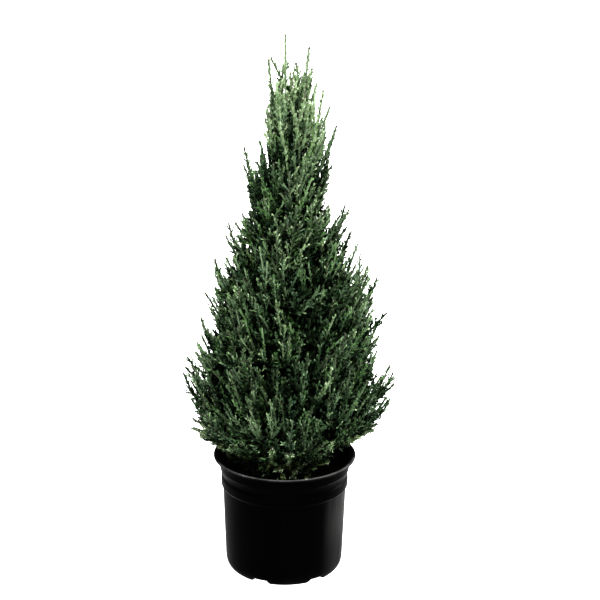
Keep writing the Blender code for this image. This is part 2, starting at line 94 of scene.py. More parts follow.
class Wire:
    """An output socket that takes part in arithmetic, one Math node for each operation."""

    def __init__(self, recipe: Recipe, socket: bpy.types.NodeSocket) -> None:
        """Keep the socket and the recipe whose tree it belongs to."""
        self.recipe = recipe
        self.socket = socket

    def _math(self, operation: str, *values: Wire | float) -> Wire:
        """Return the result of a Math node on the values."""
        return self.recipe.node("ShaderNodeMath", {"operation": operation}, dict(enumerate(values)))

    def __add__(self, other: Wire | float) -> Wire:
        """Return self + other."""
        return self._math("ADD", self, other)

    __radd__ = __add__

    def __mul__(self, other: Wire | float) -> Wire:
        """Return self * other."""
        return self._math("MULTIPLY", self, other)

    __rmul__ = __mul__

    def __sub__(self, other: Wire | float) -> Wire:
        """Return self - other."""
        return self._math("SUBTRACT", self, other)

    def __rsub__(self, other: Wire | float) -> Wire:
        """Return other - self."""
        return self._math("SUBTRACT", other, self)

    def __truediv__(self, other: Wire | float) -> Wire:
        """Return self / other."""
        return self._math("DIVIDE", self, other)

    def __rtruediv__(self, other: Wire | float) -> Wire:
        """Return other / self."""
        return self._math("DIVIDE", other, self)

    def between(self, low: float, high: float) -> Wire:
        """Return 0 below low, 1 above high, and a smooth step between them."""
        inputs = {"Value": self, "From Min": low, "From Max": high}
        return self.recipe.node("ShaderNodeMapRange", {"interpolation_type": "SMOOTHSTEP"}, inputs)


class Recipe:
    """A material's node tree, built node by node from settings and values."""

    def __init__(self, name: str) -> None:
        """Start an empty material with a Principled shader."""
        self.material = bpy.data.materials.new(name)
        self.material.use_nodes = True
        self.tree = self.material.node_tree
        self.shader = self.tree.nodes["Principled BSDF"]

    def node(
        self, kind: str, settings: dict[str, object] | None = None,
        inputs: dict[str | int, object] | None = None, output: str | int = 0,
    ) -> Wire:
        """Add a node and return one of its outputs.

        Args:
            kind: The node's type.
            settings: Attributes, such as an operation, that are set before the sockets.
            inputs: Values or wires of its sockets, by name or number.
            output: The output to return.

        Returns:
            The output as a wire.
        """
        made = self.tree.nodes.new(kind)
        for name, value in (settings or {}).items():
            setattr(made, name, value)
        for name, value in (inputs or {}).items():
            self.feed(made.inputs[name], value)
        return Wire(self, made.outputs[output])

    def feed(self, socket: bpy.types.NodeSocket, value: object) -> None:
        """Link a wire to a socket, or set its value."""
        if isinstance(value, Wire):
            self.tree.links.new(value.socket, socket)
        else:
            socket.default_value = value

    def surface(
        self, colour: object, roughness: Wire | float, specular: float, **inputs: object
    ) -> Material:
        """Set the Principled shader's sockets.

        Args:
            colour: The base colour.
            roughness: The roughness.
            specular: The specular level.
            inputs: Other sockets, by name with underscores for spaces.

        Returns:
            The finished material.
        """
        first = {"Base Color": _rgba(colour), "Roughness": roughness, "Specular IOR Level": specular}
        others = {name.replace("_", " ").title(): value for name, value in inputs.items()}
        for name, value in (first | others).items():
            self.feed(self.shader.inputs[name], value)
        return self.material

    def vector(self, operation: str, *values: Wire | Colour, output: str | int = 0) -> Wire:
        """Return an output of a Vector Math node on the values."""
        return self.node("ShaderNodeVectorMath", {"operation": operation}, dict(enumerate(values)), output)

    def place(self, scale: Triple = (1.0, 1.0, 1.0), layer: str = "") -> Wire:
        """Return the object's own coordinates or a UV layer's, scaled along each axis."""
        own = None if layer else self.node("ShaderNodeTexCoord", output="Object")
        coordinates = own or self.node("ShaderNodeUVMap", {"uv_map": layer})
        return self.node("ShaderNodeMapping", None, {"Vector": coordinates, "Scale": scale})

    def noise(self, place: Wire, scale: float, detail: float = 3.0, rough: float = 0.55) -> Wire:
        """Return a noise value about 0.5 at a place."""
        inputs = {"Vector": place, "Scale": scale, "Detail": detail, "Roughness": rough}
        return self.node("ShaderNodeTexNoise", None, inputs)

    def blend(self, share: Wire | float, first: object, second: object) -> Wire:
        """Return a colour between two, by a share from 0 to 1."""
        inputs = {0: share, 6: _rgba(first), 7: _rgba(second)}
        return self.node("ShaderNodeMix", {"data_type": "RGBA"}, inputs, 2)

    def bump(self, height: Wire, distance: float, strength: float) -> Wire:
        """Return a normal bent by a height in metres times distance."""
        inputs = {"Height": height, "Distance": distance, "Strength": strength}
        return self.node("ShaderNodeBump", None, inputs)


def _rgba(colour: object) -> object:
    """Return a plain colour with its alpha, and a wire as it is."""
    return colour if isinstance(colour, Wire) else (*colour, 1.0)


@dataclass(frozen=True)
class NeedleTint:
    """A plain tint of needles or green stems, dealt out by spray."""

    name: str
    colour: Colour
    roughness: float
    specular: float

    def material(self) -> Material:
        """Return the tint as a material."""
        return Recipe(self.name).surface(self.colour, self.roughness, self.specular)


@dataclass(frozen=True)
class MouldedPlastic:
    """Black moulded plastic: mottled, dusty at the foot, with painted highlights on its edges.

    Painted highlights lie on the neck's and band's edges at the sides and along the lip's crest,
    and painted light on the lip's top. A pale painted sheen lies on the side that its side
    vector points to, and scuffs on the lip's corner. The pairs are the heights, radii or noise
    values between which each of these fades in.
    """

    name: str = "black_moulded_plastic"
    colour: Colour = (0.0007, 0.0007, 0.0008)
    mottle: Colour = (0.0013, 0.0013, 0.0014)
    # painted light: the lip's top painted a lighter grey, as where light falls on it
    face: Colour = (0.016, 0.016, 0.0156)
    # painted highlight: a pale line along the lip's crest
    lip_highlight: Colour = (0.07, 0.071, 0.069)
    scuff: Colour = (0.26, 0.26, 0.25)
    # painted highlight: pale lines on the neck's and band's edges, towards the sides only
    edge: Colour = (0.042, 0.043, 0.042)
    dust: Colour = (0.01, 0.0095, 0.0085)
    # painted sheen: a pale colour on one side of the pot that stands in for reflected light, then its side,
    # facing, height and patch limits
    painted_sheen: Colour = (0.025, 0.025, 0.0245)
    sheen_side: Triple = (0.906, -0.423, 0.0)
    sheen_facing: Pair = (0.88, 1.0)
    sheen_top: Pair = (0.178, 0.186)
    sheen_foot: Pair = (0.05, 0.13)
    sheen_patches: Pair = (0.4, 0.62)
    specular: float = 0.028
    lip_top: Pair = (0.2415, 0.243)
    lip_face: Pair = (0.1375, 0.1392)
    lip_crest: Pair = (0.249, 0.2496)
    lip_line: Edges = (0.1444, 0.1452, 0.151, 0.152)
    neck_edge: Edges = (0.2202, 0.2212, 0.2224, 0.2236)
    band_edge: Edges = (0.1836, 0.1846, 0.1856, 0.1866)
    highlight_sides: Pair = (0.06, 0.12)
    highlight_patches: Pair = (0.25, 0.6)
    dust_heights: Pair = (0.004, 0.034)
    dust_patches: Pair = (0.4, 0.62)
    smudges: Pair = (0.6, 0.78)
    scratches: Pair = (0.58, 0.68)
    scuffed: Pair = (0.49, 0.57)
    mottled: Pair = (0.42, 0.66)

    def material(self) -> Material:
        """Return the plastic as a material."""
        recipe = Recipe(self.name)
        here = recipe.place()
        cloud = recipe.noise(here, 9.0, 4.0)
        streak = recipe.noise(recipe.place((26.0, 26.0, 3.5)), 1.0, 5.0)
        grain = recipe.noise(here, 900.0, 2.0)
        height = recipe.node("ShaderNodeSeparateXYZ", None, {"Vector": here}, "Z")
        flat = recipe.vector("MULTIPLY", here, (1.0, 1.0, 0.0))
        radius = recipe.vector("LENGTH", flat, output="Value")
        aside = recipe.vector("MULTIPLY", here, (1.0, 0.0, 0.0))
        aside = recipe.vector("LENGTH", aside, output="Value")
        # noise that breaks up the painted highlights and the painted light on the lip's top
        painted_light_noise = recipe.noise(here, 45.0, 3.0)
        # painted light: the lip's top, above lip_top and out past lip_face, lighter in patches
        top = height.between(*self.lip_top)
        face = radius.between(*self.lip_face) * top
        # the lip's crest: a painted highlight, with real scratched scuffs and extra roughness on it
        line = self._stripe(radius, self.lip_line) * height.between(*self.lip_crest)
        # painted highlights on the neck's and band's edges, only towards the sides and in patches
        edges = self._stripe(height, self.neck_edge) + self._stripe(height, self.band_edge)
        edges = edges * aside.between(*self.highlight_sides) * painted_light_noise.between(*self.highlight_patches)
        scratch = recipe.noise(recipe.place((70.0, 70.0, 300.0)), 1.0, 3.0).between(*self.scratches)
        patch = recipe.noise(here, 22.0, 2.0).between(*self.scuffed)
        dusty = (1.0 - height.between(*self.dust_heights)) * cloud.between(*self.dust_patches)
        smudge = streak.between(*self.smudges) * 0.35
        # painted sheen: pale on the side that the side vector points to, in patches, gone above the band and
        # fainter at the foot
        facing = recipe.vector("DOT_PRODUCT", here, self.sheen_side, output="Value")
        facing = (facing / radius).between(*self.sheen_facing)
        sheen_share = facing * (0.25 + streak.between(*self.sheen_patches) * 0.75)
        sheen_share = sheen_share * (1.0 - height.between(*self.sheen_top))
        sheen_share = sheen_share * (0.5 + height.between(*self.sheen_foot) * 0.5)
        colour = recipe.blend(cloud.between(*self.mottled), self.colour, self.mottle)
        colour = recipe.blend(dusty * 0.5 + smudge * 0.3, colour, self.dust)
        # blend in the painted sheen
        colour = recipe.blend(sheen_share, colour, self.painted_sheen)
        # blend in the painted light on the lip's top
        colour = recipe.blend(face * painted_light_noise.between(0.2, 0.7), colour, self.face)
        # blend in the painted highlights on the edges
        colour = recipe.blend(edges, colour, self.edge)
        # the painted highlight along the lip's crest, in patches
        colour = recipe.blend(line * (0.55 + painted_light_noise.between(0.3, 0.6) * 0.45), colour, self.lip_highlight)
        colour = recipe.blend(line * scratch * patch, colour, self.scuff)
        roughness = 0.36 + cloud * 0.1 + streak * 0.08 + line * 0.1
        normal = recipe.bump(grain + cloud * 0.6, 0.0001, 0.5)
        return recipe.surface(colour, roughness, self.specular, normal=normal)

    @staticmethod
    def _stripe(value: Wire, edges: Edges) -> Wire:
        """Return 1 between the two middle edges, falling to 0 at the outer two."""
        return value.between(*edges[:2]) * (1.0 - value.between(*edges[2:]))


@dataclass(frozen=True)
class StringyBark:
    """Grey-brown bark in long fibrous strips that run up the stem."""

    name: str
    ridge: Colour = (0.15, 0.11, 0.078)
    groove: Colour = (0.035, 0.024, 0.016)
    lichen: Colour = (0.14, 0.132, 0.1)

    def material(self) -> Material:
        """Return the bark as a material, with its strips along the stem's own length."""
        recipe = Recipe(self.name)
        strips = recipe.noise(recipe.place((9.0, 26.0, 1.0), "stem"), 1.0, 5.0, 0.6)
        fibres = recipe.noise(recipe.place((40.0, 70.0, 1.0), "stem"), 1.0, 3.0, 0.6)
        cloud = recipe.noise(recipe.place(), 28.0, 3.0)
        share = (strips * 0.7 + fibres * 0.3).between(0.4, 0.6)
        colour = recipe.blend(share, self.groove, self.ridge)
        colour = recipe.blend(cloud.between(0.55, 0.72) * 0.5, colour, self.lichen)
        roughness = 0.78 + fibres * 0.15
        normal = recipe.bump(strips * 0.7 + fibres * 0.3, 0.001, 0.8)
        return recipe.surface(colour, roughness, 0.3, normal=normal)


@dataclass(frozen=True)
class BarkCompost:
    """Dark bark compost: damp crumbs of several browns."""

    name: str
    damp: Colour = (0.008, 0.006, 0.004)
    crumb: Colour = (0.02, 0.015, 0.01)
    fleck: Colour = (0.042, 0.032, 0.022)

    def material(self) -> Material:
        """Return the compost as a material."""
        recipe = Recipe(self.name)
        here = recipe.place()
        lump = recipe.noise(here, 160.0, 4.0, 0.65)
        speck = recipe.noise(here, 420.0, 2.0)
        colour = recipe.blend(lump.between(0.4, 0.62), self.damp, self.crumb)
        colour = recipe.blend(speck.between(0.6, 0.7) * 0.8, colour, self.fleck)
        roughness = 0.8 + speck * 0.15
        normal = recipe.bump(lump * 0.7 + speck * 0.3, 0.0016, 0.9)
        return recipe.surface(colour, roughness, 0.25, normal=normal)


@dataclass(frozen=True)
class StudioPaper:
    """Plain pale paper for the floor, lit from below, with a barely seen tooth."""

    name: str = "studio_paper"
    colour: Colour = (0.36, 0.36, 0.36)
    glow: float = 0.9

    def material(self) -> Material:
        """Return the paper as a material."""
        recipe = Recipe(self.name)
        tooth = recipe.noise(recipe.place(), 300.0, 2.0)
        light = {"emission_color": (1.0, 1.0, 1.0, 1.0), "emission_strength": self.glow}
        return recipe.surface(self.colour, 0.9, 0.1, **light, normal=recipe.bump(tooth, 0.0002, 0.3))


# Six needle tints from the darkest to the palest, then those of sprays with a cast and of tips
TINTS = (
    NeedleTint("needle_deep_shade", (0.012, 0.022, 0.01), 0.65, 0.12),
    NeedleTint("needle_dark_green", (0.036, 0.062, 0.0335), 0.5, 0.3),
    NeedleTint("needle_green", (0.074, 0.113, 0.066), 0.46, 0.42),
    NeedleTint("needle_grey_green", (0.122, 0.178, 0.108), 0.42, 0.5),
    NeedleTint("needle_light_green", (0.208, 0.28, 0.16), 0.4, 0.5),
    NeedleTint("needle_pale_tip", (0.305, 0.365, 0.245), 0.4, 0.5),
    NeedleTint("needle_blue_green", (0.068, 0.116, 0.079), 0.46, 0.42),
    NeedleTint("needle_fresh_green", (0.108, 0.19, 0.078), 0.42, 0.45),
    NeedleTint("needle_straw", (0.15, 0.185, 0.09), 0.6, 0.2),
    NeedleTint("needle_deep_fresh", (0.066, 0.116, 0.047), 0.46, 0.4),
    NeedleTint("needle_bronze_tip", (0.085, 0.086, 0.064), 0.6, 0.25),
)
TONES = 6
BLUE_TINT, FRESH_TINT, STRAW_TINT, DEEP_FRESH_TINT, BRONZE_TINT = 6, 7, 8, 9, 10

# A spray's cast runs from 0 to 1: blue at the low end, fresh and then straw at the high end
BLUE_CAST, PLAIN_CAST, FRESH_CAST, STRAW_FROM, STRAW_CAST = 0.22, 0.5, 0.78, 0.996, 0.999

# How much side shoots lighten along their length, by the tier's tone: paler young tips, and painted shade
# towards the foot
SIDE_RISE = ((3.0, 4.2), (4.0, 1.6))

# Stem tints: two of brown wood, then green ones from dark to pale
STEM_TINTS = (
    NeedleTint("twig_old", (0.03, 0.02, 0.012), 0.8, 0.1),
    NeedleTint("twig_young", (0.08, 0.062, 0.04), 0.75, 0.15),
    NeedleTint("shoot_dark_green", (0.031, 0.054, 0.027), 0.6, 0.2),
    NeedleTint("shoot_green", (0.072, 0.108, 0.06), 0.46, 0.42),
    NeedleTint("shoot_light_green", (0.15, 0.2, 0.125), 0.42, 0.5),
    NeedleTint("shoot_pale_green", (0.196, 0.264, 0.151), 0.42, 0.5),
)


# ---- meshes


@dataclass
class Shell:
    """Points and faces of a surface, with each face's material number and each corner's UV."""

    points: Array
    faces: list[Array]
    looks: list[Array] | None = None
    uvs: list[Array] | None = None

    def triangles(self) -> int:
        """Return how many triangles the faces make."""
        return sum(len(block) * (block.shape[1] - 2) for block in self.faces)


def merged(shells: Sequence[Shell]) -> Shell:
    """Return several shells as one.

    Args:
        shells: The shells to join; either all or none have looks, and the same for UVs.

    Returns:
        One shell with its faces grouped by their number of corners.
    """
    firsts = np.cumsum([0] + [len(shell.points) for shell in shells[:-1]])
    faces, looks, uvs = [], [], []
    for first, shell in zip(firsts, shells):
        for number, block in enumerate(shell.faces):
            faces.append(block + first)
            if shell.looks is not None:
                looks.append(shell.looks[number])
            if shell.uvs is not None:
                uvs.append(shell.uvs[number])
    return Shell(np.concatenate([s.points for s in shells]), faces, looks or None, uvs or None)


def make_piece(
    name: str, shell: Shell, materials: Sequence[Material], smooth: bool, uv_layer: str = "",
) -> Piece:
    """Put a shell into a mesh object at the origin.

    Args:
        name: The piece's name.
        shell: Its points and faces.
        materials: Its material slots.
        smooth: Whether its faces are shaded smooth.
        uv_layer: The name of the UV layer that the shell's UVs go to.

    Returns:
        The new object.
    """
    mesh = bpy.data.meshes.new(name)
    sizes = np.concatenate([np.full(len(block), block.shape[1]) for block in shell.faces])
    corners = np.concatenate([block.ravel() for block in shell.faces]).astype(np.int32)
    mesh.vertices.add(len(shell.points))
    mesh.vertices.foreach_set("co", shell.points.astype(np.float32).ravel())
    mesh.loops.add(len(corners))
    mesh.loops.foreach_set("vertex_index", corners)
    mesh.polygons.add(len(sizes))
    mesh.polygons.foreach_set("loop_start", (np.cumsum(sizes) - sizes).astype(np.int32))
    mesh.polygons.foreach_set("use_smooth", np.full(len(sizes), smooth))
    if shell.looks is not None:
        mesh.polygons.foreach_set("material_index", np.concatenate(shell.looks).astype(np.int32))
    for material in materials:
        mesh.materials.append(material)
    mesh.update(calc_edges=True)
    if uv_layer and shell.uvs is not None:
        layer = mesh.uv_layers.new(name=uv_layer)
        flat = np.concatenate([block.reshape(-1, 2) for block in shell.uvs])
        layer.uv.foreach_set("vector", flat.astype(np.float32).ravel())
    mesh.validate()
    piece = bpy.data.objects.new(name, mesh)
    bpy.context.scene.collection.objects.link(piece)
    LOG.info("%s: %d triangles", name, shell.triangles())
    return piece


def hand_over(piece: Piece, nodes: Sequence[str]) -> None:
    """Ride a piece on the body, and hide the nodes that it stands for."""
    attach(piece, BODY)
    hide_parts(*nodes)


def ring(count: int) -> tuple[Array, Array]:
    """Return the numbers of the points of a ring, and of the point after each."""
    column = np.arange(count)
    return column, (column + 1) % count


def fan(centre: int, first: Array, second: Array) -> Array:
    """Return the triangles that join a centre to pairs of points."""
    return np.stack((np.full_like(first, centre), first, second), 1)


def grid_faces(rows: int, columns: int) -> Array:
    """Return the quads of rings of points.

    Quad (i, j) joins points (i, j), (i, j + 1), (i + 1, j + 1) and (i + 1, j), where a ring's
    last column is followed by its first.

    Args:
        rows: The number of rings.
        columns: The number of points in a ring.

    Returns:
        The quads' point numbers, shaped (rows - 1, columns, 4).
    """
    low = np.arange(rows - 1)[:, None] * columns
    column, after = ring(columns)
    return np.stack((low + column, low + after, low + columns + after, low + columns + column), axis=-1)


def unit(vectors: Array) -> Array:
    """Return vectors scaled to length 1 along their last axis."""
    return vectors / np.maximum(np.linalg.norm(vectors, axis=-1, keepdims=True), 1e-12)


def side_axes(headings: Array) -> tuple[Array, Array]:
    """Return two unit directions square to each heading.

    The first is the level one, up crossed with the heading, and the second is the heading
    crossed with the first.

    Args:
        headings: Unit vectors.

    Returns:
        The level directions and the upright ones.
    """
    level = np.cross(UP, headings)
    upright = np.linalg.norm(level, axis=-1, keepdims=True) < 1e-3
    level = unit(np.where(upright, np.array((1.0, 0.0, 0.0)), level))
    return level, np.cross(headings, level)


def around(headings: Array, turn: Array) -> Array:
    """Return the direction square to each heading at a turn round it."""
    level, upright = side_axes(headings)
    return np.cos(turn)[:, None] * level + np.sin(turn)[:, None] * upright


def below(points: Array, fade: Pair) -> Array:
    """Return 0 for points above fade's height, rising to 1 over fade's depth under it."""
    return np.clip((fade[0] - points[:, 2]) / fade[1], 0.0, 1.0)


def spread(counts: Array) -> tuple[Array, Array]:
    """Return the owner and the order in it of each of a ragged set of items."""
    owner = np.repeat(np.arange(len(counts)), counts)
    order = np.arange(len(owner)) - np.repeat(np.cumsum(counts) - counts, counts)
    return owner, order


@dataclass
class Curves:
    """Cubic curves, each held by four points: foot, two handles and tip."""

    holds: Array

    def __len__(self) -> int:
        """Return the number of curves."""
        return len(self.holds)

    def point(self, which: Array, place: Array) -> Array:
        """Return points on chosen curves: the Bernstein sum of the four holds at the place."""
        t = place[..., None]
        a, b, c, d = (self.holds[which, k] for k in range(4))
        return a * (1 - t) ** 3 + 3 * b * t * (1 - t) ** 2 + 3 * c * t**2 * (1 - t) + d * t**3

    def heading(self, which: Array, place: Array) -> Array:
        """Return unit tangents on chosen curves: the derivative of the Bernstein sum."""
        t = place[..., None]
        a, b, c, d = (self.holds[which, k] for k in range(4))
        return unit((b - a) * (1 - t) ** 2 + 2 * (c - b) * t * (1 - t) + (d - c) * t**2)

    def length(self) -> Array:
        """Return each curve's length along eight chords."""
        places = np.linspace(0.0, 1.0, 9)
        which = np.arange(len(self))[:, None]
        spots = self.point(which, np.broadcast_to(places, (len(self), 9)))
        return np.linalg.norm(np.diff(spots, axis=1), axis=2).sum(axis=1)

    def beyond(self, start: Array) -> Curves:
        """Return the part of each curve beyond a place, by de Casteljau's rule.

        Args:
            start: Each curve's place.

        Returns:
            The parts, as curves of their own.
        """
        s = start[:, None]
        a, b, c, d = (self.holds[:, k] for k in range(4))
        ab, bc, cd = a + (b - a) * s, b + (c - b) * s, c + (d - c) * s
        abc, bcd = ab + (bc - ab) * s, bc + (cd - bc) * s
        return Curves(np.stack((abc + (bcd - abc) * s, bcd, cd, d), axis=1))


def tubes(
    curves: Curves, foot_radius: Array, tip_radius: Array, looks: Array, rings: int = 4, sides: int = 3
) -> Shell:
    """Return many tapering tubes along curves, closed at both ends.

    Ring i is a regular polygon, square to its curve at an even place along it, whose radius
    falls evenly from the foot's to the tip's.

    Args:
        curves: Their middle lines.
        foot_radius: The radius at each foot.
        tip_radius: The radius at each tip.
        looks: Each tube's material number.
        rings: The number of rings of each.
        sides: The number of sides of a ring.

    Returns:
        The tubes as one shell.
    """
    count = len(curves)
    places = np.broadcast_to(np.linspace(0.0, 1.0, rings), (count, rings))
    which = np.arange(count)[:, None]
    level, upright = side_axes(curves.heading(which, places))
    radius = foot_radius[:, None] + (tip_radius - foot_radius)[:, None] * places
    turn = np.linspace(0.0, math.tau, sides, endpoint=False)
    across = np.cos(turn)[:, None] * level[:, :, None, :] + np.sin(turn)[:, None] * upright[:, :, None, :]
    points = curves.point(which, places)[:, :, None, :] + radius[:, :, None, None] * across
    first = (np.arange(count) * rings * sides)[:, None]
    walls = grid_faces(rings, sides).reshape(1, -1, 4) + first[:, :, None]
    cap = np.arange(sides)
    feet = first + cap[::-1]
    tips = first + (rings - 1) * sides + cap
    wall_looks = np.repeat(looks, walls.shape[1])
    return Shell(points.reshape(-1, 3), [walls.reshape(-1, 4), feet, tips], [wall_looks, looks, looks])


def spikes(feet: Array, tips: Array, radius: Array, looks: Array) -> Shell:
    """Return many thin spikes, each a three-sided pyramid from its foot to its tip.

    Args:
        feet: The middles of their feet.
        tips: Their tips.
        radius: Their radii at the foot.
        looks: Each spike's material number.

    Returns:
        The spikes as one shell.
    """
    level, upright = side_axes(unit(tips - feet))
    turn = np.linspace(0.0, math.tau, 3, endpoint=False)[:, None]
    ring = np.cos(turn) * level[:, None, :] + np.sin(turn) * upright[:, None, :]
    ring = feet[:, None, :] + radius[:, None, None] * ring
    points = np.concatenate((ring, tips[:, None, :]), axis=1).reshape(-1, 3)
    pattern = np.array(((0, 2, 1), (0, 1, 3), (1, 2, 3), (2, 0, 3)))
    faces = (np.arange(len(feet)) * 4)[:, None, None] + pattern
    return Shell(points, [faces.reshape(-1, 3)], [np.repeat(looks, 4)])


SIDE_PART = 0.45


def rounded(outline: Sequence[Triple], steps: int) -> Array:
    """Return an outline with its corners rounded.

    Each corner (x, y, r) is replaced by a quadratic curve that leaves the side before it and
    joins the side after it at r, or at SIDE_PART of the side where that is shorter.

    Args:
        outline: Corners with their rounding.
        steps: How many spans each rounded corner has.

    Returns:
        The points of the rounded outline, shaped (n, 2).
    """
    spots = np.array([corner[:2] for corner in outline])
    made = [spots[:1]]
    share = np.linspace(0.0, 1.0, steps + 1)[:, None]
    for before, here, after, corner in zip(spots[:-2], spots[1:-1], spots[2:], outline[1:-1]):
        back, on = before - here, after - here
        inset = min(corner[2], SIDE_PART * np.linalg.norm(back), SIDE_PART * np.linalg.norm(on))
        start, end = here + unit(back) * inset, here + unit(on) * inset
        if inset < 1e-6:
            made.append(here[None, :])
            continue
        made.append(start * (1 - share) ** 2 + 2 * here * share * (1 - share) + end * share**2)
    made.append(spots[-1:])
    return np.concatenate(made)


# ---- pot


@dataclass
class NurseryPot:
    """The thin moulded pot: flared lip, neck, groove, raised band, tapering wall and six feet."""

    rim_radius: float = 0.15
    height: float = 0.2515
    wall: float = 0.0022
    neck_radius: float = 0.1372
    groove_radius: float = 0.1318
    band_radius: float = 0.1343
    wall_top: Pair = (0.1302, 0.18)
    wall_foot: Pair = (0.1248, 0.0235)
    foot_radius: float = 0.112
    foot_inner: float = 0.09
    notch: float = 0.011
    floor: float = 0.0135
    feet: int = 6
    foot_span: float = 41.0
    foot_ramp: float = 1.0
    first_foot: float = 275.0
    hole_inset: float = 5.0
    hole_radii: Pair = (0.094, 0.107)
    middle_radius: float = 0.086
    columns: int = 240
    first_column: float = 0.5
    corner_steps: int = 3
    foot_turns: tuple[float, float, int] = (12.0, 90.0, 8)
    finish: MouldedPlastic = MouldedPlastic()

    def crests(self) -> tuple[float, ...]:
        """Return the lip's height, and the radii of the lip, neck, groove and band."""
        return self.height, self.rim_radius, self.neck_radius, self.groove_radius, self.band_radius

    def outside(self) -> Array:
        """Return the outer side from the lip's crest to the foot's inner edge.

        Corners are radius, height and rounding, down to the foot; the foot's own corner is a
        quarter of an ellipse, and the underside is level.
        """
        lip, rim, neck, groove, band = self.crests()
        corners = [
            (rim - 0.003, lip, 0.0), (rim - 0.0004, lip - 0.0003, 0.0012),
            (rim, lip - 0.0032, 0.0012), (rim - 0.0008, lip - 0.0052, 0.001),
            (rim - 0.0058, lip - 0.007, 0.003), (neck + 0.0012, lip - 0.0098, 0.003),
            (neck, 0.237, 0.003), (neck - 0.0004, 0.223, 0.003),
            (neck - 0.0012, 0.22, 0.0014), (groove + 0.0004, 0.2102, 0.002),
            (groove, 0.208, 0.001), (groove + 0.0004, 0.2064, 0.001),
            (band - 0.0002, 0.2022, 0.0012), (band, 0.2006, 0.0008),
            (band - 0.0001, 0.1866, 0.003), (band - 0.0006, 0.1852, 0.0008),
            (self.wall_top[0] + 0.0004, 0.1808, 0.001), (*self.wall_top, 0.002),
            (0.1284, 0.128, 0.0), (0.1266, 0.076, 0.0),
            (*self.wall_foot, 0.0),
        ]
        turn = np.radians(np.linspace(*self.foot_turns))
        width = self.wall_foot[0] - self.foot_radius
        corner = (self.foot_radius + width * np.cos(turn), self.wall_foot[1] * (1.0 - np.sin(turn)))
        under = ((self.hole_radii[1], 0.0), (self.hole_radii[0], 0.0), (self.foot_inner, 0.0))
        return np.concatenate((rounded(corners, self.corner_steps), np.stack(corner, 1), np.array(under)))

    def inside(self) -> Array:
        """Return the inner side from the floor's drain holes up to the lip's crest."""
        lip, rim, neck, groove, _ = self.crests()
        wall, foot, top = self.wall, self.wall_foot, self.wall_top
        corners = [
            (self.hole_radii[1], self.floor, 0.0), (0.115, self.floor, 0.003),
            (foot[0] - wall, foot[1] + wall, 0.005), (top[0] - wall, top[1], 0.001),
            (groove - wall, 0.208, 0.002), (neck - wall - 0.0004, 0.2205, 0.003),
            (neck - wall + 0.0004, lip - 0.0098, 0.003), (neck + 0.0012, lip - 0.0042, 0.002),
            (rim - 0.005, lip - 0.0008, 0.0024), (rim - 0.003, lip, 0.0),
        ]
        return rounded(corners, self.corner_steps)[:-1]

    def off_foot(self, azimuth: Array) -> Array:
        """Return how many degrees azimuths lie past the edge of the nearest foot."""
        pitch = 360.0 / self.feet
        away = np.abs((azimuth - self.first_foot + pitch / 2.0) % pitch - pitch / 2.0)
        return away - self.foot_span / 2.0

    def lift(self, azimuth: Array) -> Array:
        """Return the height of the underside at azimuths: 0 on a foot, a notch's between."""
        return self.notch * np.clip(self.off_foot(azimuth) / self.foot_ramp, 0.0, 1.0)

    def in_hole(self, azimuth: Array) -> Array:
        """Tell for each azimuth whether it lies in a drain hole's span."""
        return self.off_foot(azimuth) > self.hole_inset

    def build(self) -> Shell:
        """Turn the outline round the pot's axis, lift the notches and pierce the holes.

        Point (i, j) is outline point i at azimuth j: radius r(i), and height the greater of
        z(i) and the underside's lift at that azimuth. The outline runs from the middle of the
        floor over the lip to the middle of the underside.

        Returns:
            The pot's shell.
        """
        azimuth = np.arange(self.columns) * 360.0 / self.columns + self.first_column
        floor = ((0.0, self.floor), (self.hole_radii[0], self.floor))
        middle = ((self.middle_radius, self.notch), (0.0, self.notch))
        outline = np.concatenate((np.array(floor), self.inside(), self.outside(), np.array(middle)))
        under = np.arange(len(outline)) >= 2 + len(self.inside())
        radius, height = outline[:, :1], outline[:, 1:]
        lifted = np.where(under[:, None], np.maximum(height, self.lift(azimuth)), height)
        turn = np.radians(azimuth)[None, :]
        grid = np.stack((radius * np.cos(turn), radius * np.sin(turn), lifted), axis=-1)
        rows = len(outline)
        quads = grid_faces(rows, self.columns)[1:-1]
        open_spans = self.in_hole(azimuth + 180.0 / self.columns)
        hole_row = rows - 5  # the underside's row at the holes' outer radius
        keep = np.ones(quads.shape[:2], bool)
        keep[0, open_spans] = False
        keep[hole_row - 1, open_spans] = False
        column, after = ring(self.columns)
        centre, last = rows * self.columns, (rows - 2) * self.columns
        inner = fan(centre, self.columns + column, self.columns + after)
        caps = np.concatenate((inner, fan(centre + 1, last + after, last + column)))
        points = np.concatenate((grid.reshape(-1, 3), ((0, 0, self.floor), (0, 0, self.notch))))
        return Shell(points, [quads[keep][:, ::-1], self._hole_walls(open_spans, hole_row), caps])

    def _hole_walls(self, open_spans: Array, row: int) -> Array:
        """Return the quads of the drain holes' sides, between the floor and the underside.

        Args:
            open_spans: Whether each span between two columns is in a hole.
            row: The underside's row at the holes' outer radius.

        Returns:
            The quads' point numbers.
        """
        column = np.flatnonzero(open_spans)
        after = (column + 1) % self.columns
        top_in, top_out = self.columns, 2 * self.columns
        low_out, low_in = row * self.columns, (row + 1) * self.columns
        walls = [
            np.stack((top_in + column, low_in + column, low_in + after, top_in + after), 1),
            np.stack((top_out + after, low_out + after, low_out + column, top_out + column), 1),
        ]
        first = column[~open_spans[column - 1]]
        last = (column[~open_spans[(column + 1) % self.columns]] + 1) % self.columns
        walls.append(np.stack((top_in + first, top_out + first, low_out + first, low_in + first), 1))
        walls.append(np.stack((top_out + last, top_in + last, low_in + last, low_out + last), 1))
        return np.concatenate(walls)

    def dress(self) -> None:
        """Make the pot's piece, without the points that no face uses."""
        shell = self.build()
        used = np.unique(np.concatenate([block.ravel() for block in shell.faces]))
        renumber = np.full(len(shell.points), -1)
        renumber[used] = np.arange(len(used))
        shell = Shell(shell.points[used], [renumber[block] for block in shell.faces])
        piece = make_piece("moulded_pot", shell, [self.finish.material()], True)
        hand_over(piece, ["pot"])


